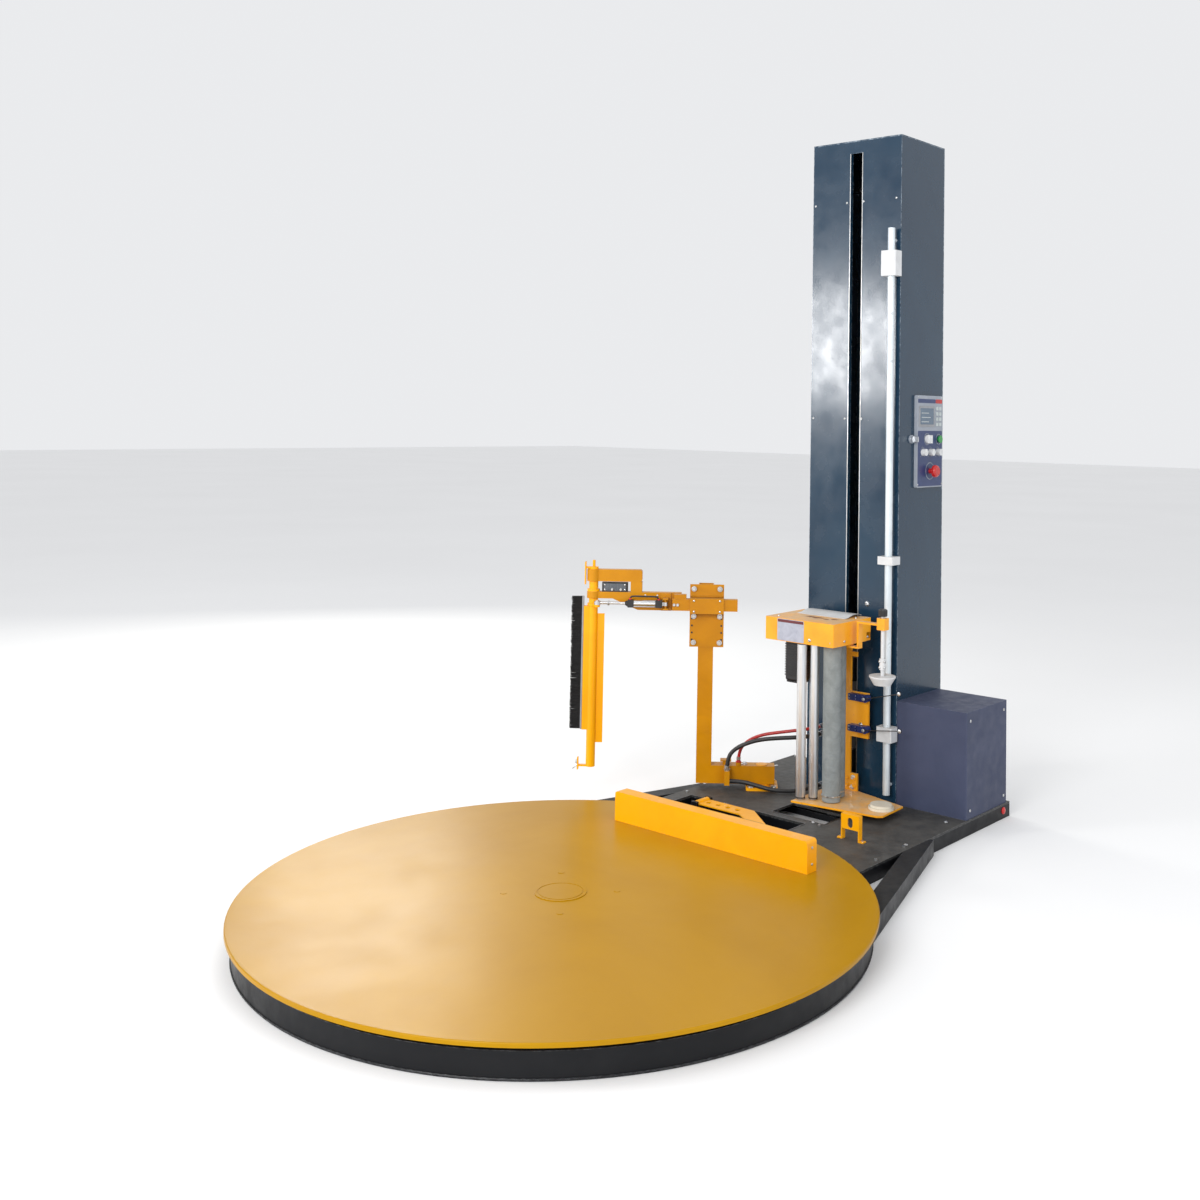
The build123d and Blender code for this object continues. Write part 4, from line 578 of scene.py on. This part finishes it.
# welds between the base ring and its flange
b = bmesh.new()
ring = [Vector((0.8074 * math.cos(t), 0.8074 * math.sin(t), 0.004 + 0.0006 * math.sin(t * 260)))
        for t in (2 * math.pi * k / 720 for k in range(75, 646))]
pipe(b, ring, 0.0022, 6)
put("ring_weld", b, "base", black)

# ---------------------------------------------------------------- control panel
FACE = -0.193
DIAL_HEIGHT = 1.218


def plate_xz(name, low, high, radius, thick, material, lift=0.0):
    """A thin print or plate on the panel's face, lift above it."""
    build = bmesh.new()
    slab(build, rounded(low, high, radius), "Y", FACE - lift - thick, FACE - lift)
    return put(name, build, "base", material, 0.0002)


print_blue = paint("print_blue", (0.018, 0.035, 0.115), (0.026, 0.047, 0.14), 0.35, 30, grain=1500,
                   coat=0.15, worn=(0.12, 0.15, 0.28), edge_wear_and_highlight_amount=0.4)
print_red = paint("print_red", (0.50, 0.03, 0.025), (0.42, 0.02, 0.02), 0.35, 30, grain=1500, coat=0.15)
screen_glass = paint("screen_glass", (0.05, 0.095, 0.155), (0.075, 0.13, 0.19), 0.12, 18, grain=1800,
                     coat=0.8, depth=0.00002)
key_grey = paint("key_cap", (0.50, 0.55, 0.55), (0.42, 0.47, 0.47), 0.4, 30, grain=1500,
                 worn=(0.3, 0.3, 0.3), edge_wear_and_highlight_amount=0.5)
plate_xz("panel_header", (1.480, 1.388), (1.600, 1.402), 0.003, 0.0006, print_blue)
plate_xz("panel_header_end", (1.601, 1.388), (1.646, 1.402), 0.003, 0.0006, print_red)
plate_xz("panel_field", (1.480, 1.101), (1.646, 1.292), 0.005, 0.0006, print_blue)
plate_xz("screen_bezel", (1.486, 1.306), (1.592, 1.378), 0.004, 0.002, plastic_grey)
plate_xz("screen", (1.494, 1.314), (1.584, 1.370), 0.002, 0.0006, screen_glass, 0.002)
b = bmesh.new()
for row in range(3):
    slab(b, rounded((1.500, 1.322 + 0.015 * row),
                    (1.500 + 0.05 + 0.012 * (row % 2), 1.3245 + 0.015 * row), 0.001),
         "Y", FACE - 0.0030, FACE - 0.0026)
put("screen_bars", b, "base", key_grey)
b = bmesh.new()
for row in range(4):
    for column in range(2):
        x, z = 1.603 + column * 0.021, 1.308 + row * 0.0185
        slab(b, rounded((x, z), (x + 0.016, z + 0.013), 0.003), "Y", FACE - 0.0018, FACE)
put("membrane_keys", b, "base", key_grey, 0.0005)
b = bmesh.new()
for x in (1.512, 1.563, 1.614):
    for k in range(11):
        angle = math.radians(-50 + 28 * k)
        c, s = math.cos(angle), math.sin(angle)
        near, far, half = 0.0148, 0.0185 if k % 5 else 0.0205, 0.0004
        corners = ((near, half), (far, half), (far, -half), (near, -half))
        slab(b, [(x + r * c - h * s, DIAL_HEIGHT + r * s + h * c) for r, h in corners],
             "Y", FACE - 0.0011, FACE - 0.0005)
for x, z, r in ((1.542, 1.263, 0.019), (1.622, 1.263, 0.017), (1.563, 1.153, 0.028)):
    for k in range(24):
        start, end, outer = 2 * math.pi * k / 24, 2 * math.pi * (k + 0.86) / 24, r + 0.0012
        corners = ((r, start), (outer, start), (outer, end), (r, end))
        slab(b, [(x + q * math.cos(t), z + q * math.sin(t)) for q, t in corners],
             "Y", FACE - 0.0011, FACE - 0.0005)
put("panel_marks", b, "base", key_grey)
b = bmesh.new()
for x in (1.4815, 1.6445):
    for z in (1.1075, 1.4085):
        round_screw(b, (x, FACE, z), (0, -1, 0), 0.0028, 0.0018)
put("panel_screws", b, "base", bolt_metal)
for x, body in ((1.512, "speed_dial"), (1.563, "tension_dial"), (1.614, "turns_dial")):
    b = bmesh.new()
    slab(b, rounded((x - 0.0009, 1.2195), (x + 0.0009, 1.2275), 0.0008), "Y", -0.2096, -0.2088)
    put(body + "_pointer", b, body, plastic_black)
b = bmesh.new()
spin(b, (1.563, -0.2248, 1.153), (0, -1, 0), [(0.0155, 0), (0.015, 0.0009), (0.012, 0.0011),
                                              (0.0118, 0.0003), (0, 0.0003)], 32)
put("estop_ring", b, "estop", plastic_red)

# ---------------------------------------------------------------- carriage details
HOUSING_FRONT = 1.095
HOUSING_TOP = 0.665
CHUCK_X, CHUCK_Y = 1.216, -0.223
LEVER_REACH = 0.140

label_field = paint("label_field", (0.42, 0.44, 0.52), (0.33, 0.35, 0.43), 0.45, 40, grain=1400,
                    worn=(0.25, 0.25, 0.28), edge_wear_and_highlight_amount=0.6)
label_strip = paint("label_strip", (0.13, 0.008, 0.014), (0.10, 0.006, 0.01), 0.4, 40, grain=1400)
b = bmesh.new()
slab(b, rounded((0.003, 0.592), (0.110, 0.663), 0.003), "X", HOUSING_FRONT - 0.0007, HOUSING_FRONT)
put("label_plate", b, "carriage", label_field, 0.0002)
b = bmesh.new()
slab(b, rounded((0.005, 0.652), (0.108, 0.661), 0.001), "X", HOUSING_FRONT - 0.0011,
     HOUSING_FRONT - 0.0006)
put("label_band", b, "carriage", label_strip)
b = bmesh.new()
round_screw(b, (HOUSING_FRONT, -0.020, 0.604), (-1, 0, 0), 0.0055, 0.003)
round_screw(b, (1.0985, -0.100, 0.604), (-0.7, -0.7, 0), 0.0045, 0.003)
for x in (1.16, 1.25, 1.30):
    round_screw(b, (x, -0.112, 0.604), (0, -1, 0), 0.0045, 0.003)
    round_screw(b, (x, 0.160, 0.604), (0, 1, 0), 0.0045, 0.003)
for x, y in ((1.13, 0.13), (1.29, 0.13), (1.27, -0.085)):
    round_screw(b, (x, y, HOUSING_TOP), (0, 0, 1), 0.0045, 0.003)
for y, z in ((-0.042, 0.121), (-0.039, 0.089), (-0.07, 0.30), (-0.07, 0.395)):
    hex_bolt(b, (1.330, y, z), (-1, 0, 0), 0.010, 0.005)
put("carriage_screws", b, "carriage", bolt_metal)

# pale bent guard sheet on the housing's top
b = bmesh.new()
line = [(1.222, 0.6655), (1.243, 0.6668), (1.262, 0.6715), (1.278, 0.6735), (1.306, 0.6725),
        (1.3215, 0.6685)]
for (x0, z0), (x1, z1) in zip(line, line[1:]):
    slab(b, [(x0, z0), (x1, z1), (x1, z1 + 0.0016), (x0, z0 + 0.0016)], "Y", -0.074, 0.118)
bmesh.ops.remove_doubles(b, verts=b.verts, dist=0.0002)
put("guard_sheet", b, "carriage", plastic_white)
b = bmesh.new()
rust = paint("rust_scale", (0.16, 0.06, 0.02), (0.26, 0.12, 0.045), 0.8, 60, grain=500, depth=0.0006,
             coat=0)
for x, y, r in ((1.190, 0.045, 0.011), (1.186, 0.010, 0.014), (1.176, -0.030, 0.008),
                (1.193, -0.052, 0.010)):
    random.seed(int(x * 1000 + y * 977))
    outline = []
    for k in range(14):
        t = 2 * math.pi * k / 14
        q = r * (0.7 + 0.5 * random.random())
        outline.append((x + q * math.cos(t), y + 1.5 * q * math.sin(t)))
    slab(b, outline, "Z", 0.6648, 0.6653)
put("rust_patches", b, "carriage", rust)

# film motor: cooling ribs, end cap and cable gland
b = bmesh.new()
for k in range(13):
    z = 0.468 + 0.0085 * k
    slab(b, rounded((1.148, 0.052), (1.216, 0.120), 0.008), "Z", z, z + 0.003)
slab(b, rounded((1.152, 0.056), (1.212, 0.116), 0.012), "Z", 0.4455, 0.4502)
spin(b, (1.182, 0.118, 0.565), (0, 1, 0), [(0.009, 0), (0.009, 0.006), (0.0065, 0.008),
                                           (0.0065, 0.014), (0, 0.014)], 12)
put("film_motor_ribs", b, "carriage", plastic_black, 0.0006)

# collars under the rollers, with cap screws
for place, body, radius in (((1.176, -0.057), "front_stretch", 0.031),
                            ((1.240, -0.033), "rear_stretch", 0.031)):
    b = bmesh.new()
    x, y = place
    spin(b, (x, y, 0.0955), (0, 0, 1), [(radius - 0.006, 0), (radius + 0.001, 0.0004),
                                        (radius + 0.001, 0.0045), (radius - 0.004, 0.006),
                                        (radius - 0.006, 0.006)], 40)
    for k in range(8):
        t = 2 * math.pi * k / 8
        spin(b, (x + radius * math.cos(t), y + radius * math.sin(t), 0.098),
             (math.cos(t), math.sin(t), 0),
             [(0.0026, -0.002), (0.0026, 0.0012), (0.0015, 0.0018), (0, 0.0018)], 8)
    put(body + "_collar", b, body, bolt_metal)
    b = bmesh.new()
    for k in range(48):
        z = 0.108 + 0.0099 * k
        spin(b, (x, y, z), (0, 0, 1), [(0.0296, 0), (0.03015, 0.0016), (0.03015, 0.0064),
                                       (0.0296, 0.0080)], 40)
    put(body + "_coat_ribs", b, body, rubber)
for place, body, radius in (((1.130, 0.033), "front_idler", 0.016),
                            ((1.154, -0.001), "rear_idler", 0.015)):
    b = bmesh.new()
    for z in (0.0805, 0.5815):
        spin(b, (*place, z), (0, 0, 1), [(radius * 0.6, 0), (radius * 1.01, 0.0004),
                                         (radius * 1.01, 0.006), (radius * 0.6, 0.0064)], 32)
    put(body + "_ends", b, body, dark_steel)

# chuck: grub screws and a ribbed knob
b = bmesh.new()
for z in (0.528, 0.547):
    for t in (0.4, 2.6, 4.4):
        spin(b, (CHUCK_X + 0.0094 * math.cos(t), CHUCK_Y + 0.0094 * math.sin(t), z),
             (math.cos(t), math.sin(t), 0),
             [(0.0045, 0), (0.0045, 0.003), (0.0025, 0.0042), (0.002, 0.002), (0, 0.002)], 10)
put("coupler_screws", b, "chuck", bolt_metal)
b = bmesh.new()
for k in range(16):
    t = 2 * math.pi * k / 16
    spin(b, (CHUCK_X + 0.0128 * math.cos(t), CHUCK_Y + 0.0128 * math.sin(t), 0.6935), (0, 0, 1),
         [(0.0018, 0), (0.0018, 0.018), (0, 0.019)], 6)
spin(b, (CHUCK_X, CHUCK_Y, 0.6915), (0, 0, 1), [(0.0132, 0), (0.0135, 0.001), (0.0135, 0.021),
                                                (0.011, 0.0232), (0, 0.0236)], 28)
put("chuck_knob_grip", b, "chuck", plastic_black)

# switch heads: roller on each lever's end, cable entries and cover screws
for body, bottom, angle in (("lower_lever", 0.280, 8), ("upper_lever", 0.383, 15)):
    b = bmesh.new()
    y, z = -0.098, bottom + 0.011
    slope = math.radians(angle)
    tip = (1.3, y - LEVER_REACH * math.cos(slope), z + LEVER_REACH * math.sin(slope))
    spin(b, tip, (1, 0, 0), [(0.003, 0), (0.0062, 0.001), (0.0068, 0.0045), (0.0062, 0.008),
                             (0.003, 0.009)], 20)
    spin(b, (1.3012, y, z), (-1, 0, 0), [(0.0055, 0), (0.0055, 0.002), (0.004, 0.0034), (0, 0.0034)],
         12)
    put(body + "_wheel", b, body, silver_up)
b = bmesh.new()
for bottom in (0.280, 0.383):
    for y in (-0.086, -0.062, -0.038):
        round_screw(b, (1.308, y, bottom + 0.016), (-1, 0, 0), 0.0022, 0.0016)
        round_screw(b, (1.308, y, bottom + 0.006), (-1, 0, 0), 0.0022, 0.0016)
put("switch_screws", b, "carriage", bolt_metal)
b = bmesh.new()
for bottom in (0.280, 0.383):
    for y in (-0.084, -0.053):
        slab(b, rounded((y - 0.010, bottom + 0.0005), (y + 0.010, bottom + 0.0215), 0.005), "X",
             1.3045, 1.309)
put("switch_lids", b, "carriage", plastic_blue, 0.0008)

# ---------------------------------------------------------------- wiper arm details
CYLINDER_SIDE, CYLINDER_HEIGHT = 0.0414, 0.678
ARM = Matrix.Translation((1.240, 0.275, 0)) @ Matrix.Rotation(math.radians(129), 4, "Z")


def arm_piece(name, build, body, material, bevel=0.0):
    """A piece drawn along the arm: first its length, then across, then up."""
    bmesh.ops.transform(build, matrix=ARM, verts=build.verts)
    return put(name, build, body, material, bevel)


# flat black discs on the arm's case paint the shade seen inside its rows of holes
b = bmesh.new()
for s in (0.148, 0.250):
    for z in (0.556, 0.580, 0.604, 0.628):
        spin(b, (s, 0.0288, z), (0, 1, 0), [(0.0035, 0), (0.0035, 0.0006), (0, 0.0006)], 12)
arm_piece("case_hole_shade_discs", b, "wiper", plastic_black)
b = bmesh.new()
for z in (0.7035, 0.6455):
    slab(b, [(0.140, 0.0288), (0.258, 0.0288), (0.258, 0.0335), (0.140, 0.0335)], "Z", z, z + 0.0035)
arm_piece("case_folds", b, "wiper", arm_yellow, 0.001)
b = bmesh.new()
for s in (0.154, 0.244):
    for z in (0.547, 0.637, 0.731):
        hex_bolt(b, (s, 0.0357, z), (0, 1, 0), 0.011, 0.005)
    for z in (0.6565, 0.6935):
        round_screw(b, (s, 0.0638, z), (0, 1, 0), 0.004, 0.003)
for s in (0.300, 0.312):
    hex_bolt(b, (s, 0.0585, 0.678), (0, 1, 0), 0.010, 0.005, False)
for s in (0.330, 0.372, 0.414):
    round_screw(b, (s, 0.0150, 0.703), (0, 1, 0), 0.0035, 0.0025)
for s in (-0.035, 0.035):
    for y in (-0.043, 0.043):
        hex_bolt(b, (s, y, 0.058), (0, 0, 1), 0.013, 0.006)
for s in (0.06, 0.185):
    hex_bolt(b, (s, 0.0, 0.125), (0, 0, 1), 0.012, 0.006)
arm_piece("arm_bolts", b, "wiper", bolt_metal)

# valve: cover, end plates, screws and its two fittings
b = bmesh.new()
slab(b, rounded((0.482, 0.7165), (0.560, 0.7415), 0.003), "Y", 0.0128, 0.0152)
slab(b, rounded((0.482, 0.7165), (0.560, 0.7415), 0.003), "Y", -0.0152, -0.0128)
for k in range(5):
    s = 0.495 + 0.012 * k
    slab(b, rounded((s, 0.719), (s + 0.005, 0.739), 0.001), "Y", 0.0150, 0.0163)
arm_piece("valve_cover", b, "wiper", cast, 0.0004)
b = bmesh.new()
for s in (0.486, 0.556):
    for z in (0.7205, 0.7375):
        round_screw(b, (s, 0.0152, z), (0, 1, 0), 0.003, 0.002)
        round_screw(b, (s, -0.0152, z), (0, -1, 0), 0.003, 0.002)
for s in (0.500, 0.530):
    spin(b, (s, 0.0150, 0.722), (0, 1, 0), [(0.0048, 0), (0.0048, 0.005), (0.0036, 0.006),
                                            (0.0036, 0.011), (0, 0.011)], 6)
arm_piece("valve_fittings", b, "wiper", bolt_metal)

# cylinder: black end caps, port fittings, its air pipe and the rod's locknut
b = bmesh.new()
for s0, s1 in ((0.3535, 0.378), (0.452, 0.4745)):
    slab(b, rounded((s0, 0.6652), (s1, 0.6908), 0.004), "Y", CYLINDER_SIDE - 0.0130,
         CYLINDER_SIDE + 0.0130)
spin(b, (0.4745, CYLINDER_SIDE, CYLINDER_HEIGHT), (1, 0, 0),
     [(0.0095, 0), (0.0095, 0.004), (0.0068, 0.006), (0.0068, 0.0085), (0.0052, 0.0085)], 24)
arm_piece("cylinder_caps", b, "barrel", plastic_black, 0.0008)
b = bmesh.new()
air = line_points([(0.465, 0.0414, 0.690), (0.465, 0.0414, 0.7005), (0.452, 0.043, 0.7035),
                   (0.420, 0.0450, 0.7030),
                   (0.388, 0.0455, 0.7035), (0.366, 0.0440, 0.7010), (0.366, 0.0414, 0.690)])
pipe(b, air, 0.003, 10)
arm_piece("cylinder_air_pipe", b, "barrel", hose_rubber)
b = bmesh.new()
for s in (0.366, 0.465):
    spin(b, (s, CYLINDER_SIDE, 0.6905), (0, 0, 1),
         [(0.0052, 0), (0.0052, 0.003), (0.0042, 0.0036), (0.0042, 0.0066), (0.0031, 0.0066)], 16)
arm_piece("cylinder_fittings", b, "barrel", plastic_red)
b = bmesh.new()
spin(b, (0.536, CYLINDER_SIDE, CYLINDER_HEIGHT), (1, 0, 0),
     [(0.0052, 0), (0.0085, 0.0005), (0.0085, 0.007), (0.0052, 0.0075)], 6)
spin(b, (0.5784, 0.0414, 0.6845), (0, 0, 1), [(0.0065, 0), (0.0065, 0.001), (0.005, 0.003),
                                              (0, 0.003)], 12)
arm_piece("rod_locknut", b, "rod", bolt_metal)

# hose clips and fittings on the manifold and at the mast
b = bmesh.new()
for x, y, z, r in ((1.349, 0.104, 0.240, 0.0078), (1.349, 0.104, 0.066, 0.0078),
                   (1.349, 0.108, 0.264, 0.0063)):
    spin(b, (x, y, z), (1, 0, 0), [(r, -0.005), (r + 0.0012, -0.005), (r + 0.0012, 0.005), (r, 0.005)],
         24)
    slab(b, rounded((y + r - 0.001, z - 0.004), (y + r + 0.0055, z + 0.004), 0.001), "X", x - 0.0035,
         x + 0.0035)
put("mast_hose_clips", b, "base", silver)
b = bmesh.new()
for (x, y, z), r in (((1.129, 0.3407, 0.126), 0.0078), ((1.174, 0.326, 0.150), 0.0063)):
    spin(b, (x, y, z), (0, 0, 1), [(r, -0.005), (r + 0.0012, -0.005), (r + 0.0012, 0.005), (r, 0.005)],
         24)
spin(b, (1.129, 0.3407, 0.1135), (0, 0, 1), [(0.0115, 0), (0.0115, 0.006), (0.0085, 0.0075),
                                             (0.0078, 0.0075)], 6)
put("arm_hose_clips", b, "wiper", silver)
b = bmesh.new()
spin(b, (1.174, 0.326, 0.1365), (0, 0, 1), [(0.0098, 0), (0.0098, 0.004), (0.0075, 0.0058),
                                            (0.0058, 0.0058)], 20)
put("red_fitting", b, "wiper", plastic_red)

# ---------------------------------------------------------------- brush
random.seed(7)
bristle = paint("bristle", (0.006, 0.006, 0.007), (0.014, 0.014, 0.015), 0.6, 60, grain=2400,
                depth=0.0005, coat=0.0, spec=0.25)
b = bmesh.new()
for row in range(5):
    y = -0.0062 + 0.0031 * row
    z = 0.2385
    while z < 0.6935:
        wide = 0.0021 + 0.0009 * random.random()
        reach = 0.673 - 0.0045 * random.random() - (0.003 if row % 2 else 0)
        lean = 0.003 * (random.random() - 0.5)
        sway = 0.0012 * (random.random() - 0.5)
        root = [b.verts.new((0.6305, y + dy, z + dz)) for dy,
                dz in ((-0.0012, 0), (0.0012, 0), (0.0012, wide), (-0.0012, wide))]
        tip = [b.verts.new((reach, y + sway + dy, z + lean + dz)) for dy, dz in
               ((-0.0007, 0.0004), (0.0007, 0.0004), (0.0007, wide * 0.8), (-0.0007, wide * 0.8))]
        b.faces.new(root)
        b.faces.new(tip)
        for k in range(4):
            m = (k + 1) % 4
            b.faces.new((root[k], root[m], tip[m], tip[k]))
        z += wide + 0.0004 + 0.0006 * random.random()
for v in b.verts:
    v.co.z = min(max(v.co.z, 0.2362 + 0.003 * math.sin(v.co.x * 330)), 0.6958)
brush = arm_piece("brush_bristles", b, "wiper_turn", bristle)
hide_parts("wiper_brush")
b = bmesh.new()
slab(b, rounded((0.6281, -0.0079), (0.6345, 0.0079), 0.001), "Z", 0.2365, 0.6955)
for k in range(60):
    z = 0.240 + 0.0076 * k
    for y in (-0.0092, 0.0072):
        slab(b, [(0.6290, y), (0.6325, y), (0.6325, y + 0.002), (0.6290, y + 0.002)], "Z", z,
             z + 0.0045)
arm_piece("brush_binding", b, "wiper_turn", plastic_grey, 0.0003)

# hook on the post's foot and its spring clip
b = bmesh.new()
clip = line_points([(0.640, -0.006, 0.112), (0.652, -0.010, 0.104), (0.660, 0, 0.098),
                    (0.652, 0.010, 0.104), (0.640, 0.006, 0.112)])
pipe(b, clip, 0.0016, 8)
hex_bolt(b, (0.6422, 0, 0.124), (1, 0, 0), 0.010, 0.005)
arm_piece("foot_clip", b, "wiper_turn", bolt_metal)

# ---------------------------------------------------------------- turntable details
b = bmesh.new()
for x, y in ((0.104, 0.104), (-0.104, 0.104), (0.104, -0.104), (-0.104, -0.104)):
    spin(b, (x, y, 0.0826), (0, 0, 1), [(0.0085, 0), (0.0085, 0.0007), (0.0078, 0.0009),
                                        (0.004, 0.0009), (0.0036, 0.0001), (0, 0.0001)], 20)
put("disc_screws", b, "turntable", dark_steel)
b = bmesh.new()
for y in (-0.3995, 0.3095):
    for z in (0.105, 0.15):
        round_screw(b, (0.5625, y - (0.005 if y < 0 else -0.005), z), (0, -1 if y < 0 else 1, 0),
                    0.004, 0.0022)
for y in (-0.36, -0.2, -0.045, 0.11, 0.27):
    hex_bolt(b, (0.560, y, 0.083), (0, 0, 1), 0.013, 0.006)
put("fence_bolts", b, "turntable", bolt_metal)

# ---------------------------------------------------------------- studio
floor_mat = Nodes("studio_floor")
tone = floor_mat.mix(floor_mat.scale(floor_mat.noise(0.5, 3), 0.3, 0.7), (0.86, 0.86, 0.86),
                     (0.88, 0.88, 0.88))
floor_mat.finish(tone, 0.85, floor_mat.bump(floor_mat.noise(300, 2), 0.1, 0.0002), spec=0.1)
b = bmesh.new()
slab(b, [(-40, -40), (40, -40), (40, 40), (-40, 40)], "Z", -0.03, -0.001)
mesh = bpy.data.meshes.new("floor")
b.to_mesh(mesh)
b.free()
mesh.materials.append(floor_mat.material)
floor = bpy.data.objects.new("floor", mesh)
scene.collection.objects.link(floor)

world = bpy.data.worlds.new("studio")
scene.world = world
world.use_nodes = True
world.node_tree.nodes["Background"].inputs["Color"].default_value = (0.97, 0.98, 1.0, 1)
world.node_tree.nodes["Background"].inputs["Strength"].default_value = 0.85


def softbox(name, place, target, size, power, colour=(1, 1, 1)):
    light = bpy.data.lights.new(name, "AREA")
    light.shape = "RECTANGLE"
    light.size, light.size_y = size
    light.energy = power
    light.color = colour
    obj = bpy.data.objects.new(name, light)
    scene.collection.objects.link(obj)
    place, target = Vector(place), Vector(target)
    obj.matrix_world = Matrix.Translation(place) @ (target - place).to_track_quat("-Z",
            "Y").to_matrix().to_4x4()
    obj.visible_camera = False


softbox("key", (-4.6, -1.2, 2.6), (0.9, 0, 0.6), (2.6, 2.0), 170)
softbox("fill", (-0.5, -5.0, 2.6), (0.8, 0, 0.7), (2.4, 2.4), 40)
softbox("glare", (2.5, 4.3, 2.2), (-0.62, 0.05, 0.08), (1.3, 0.7), 48, (1.0, 0.98, 0.9))
softbox("window", (-3.7, 3.4, 1.95), (1.38, 0, 1.58), (1.0, 0.8), 75)
softbox("top", (0.4, 0.2, 5.2), (0.4, 0.1, 0), (3.0, 3.0), 20)
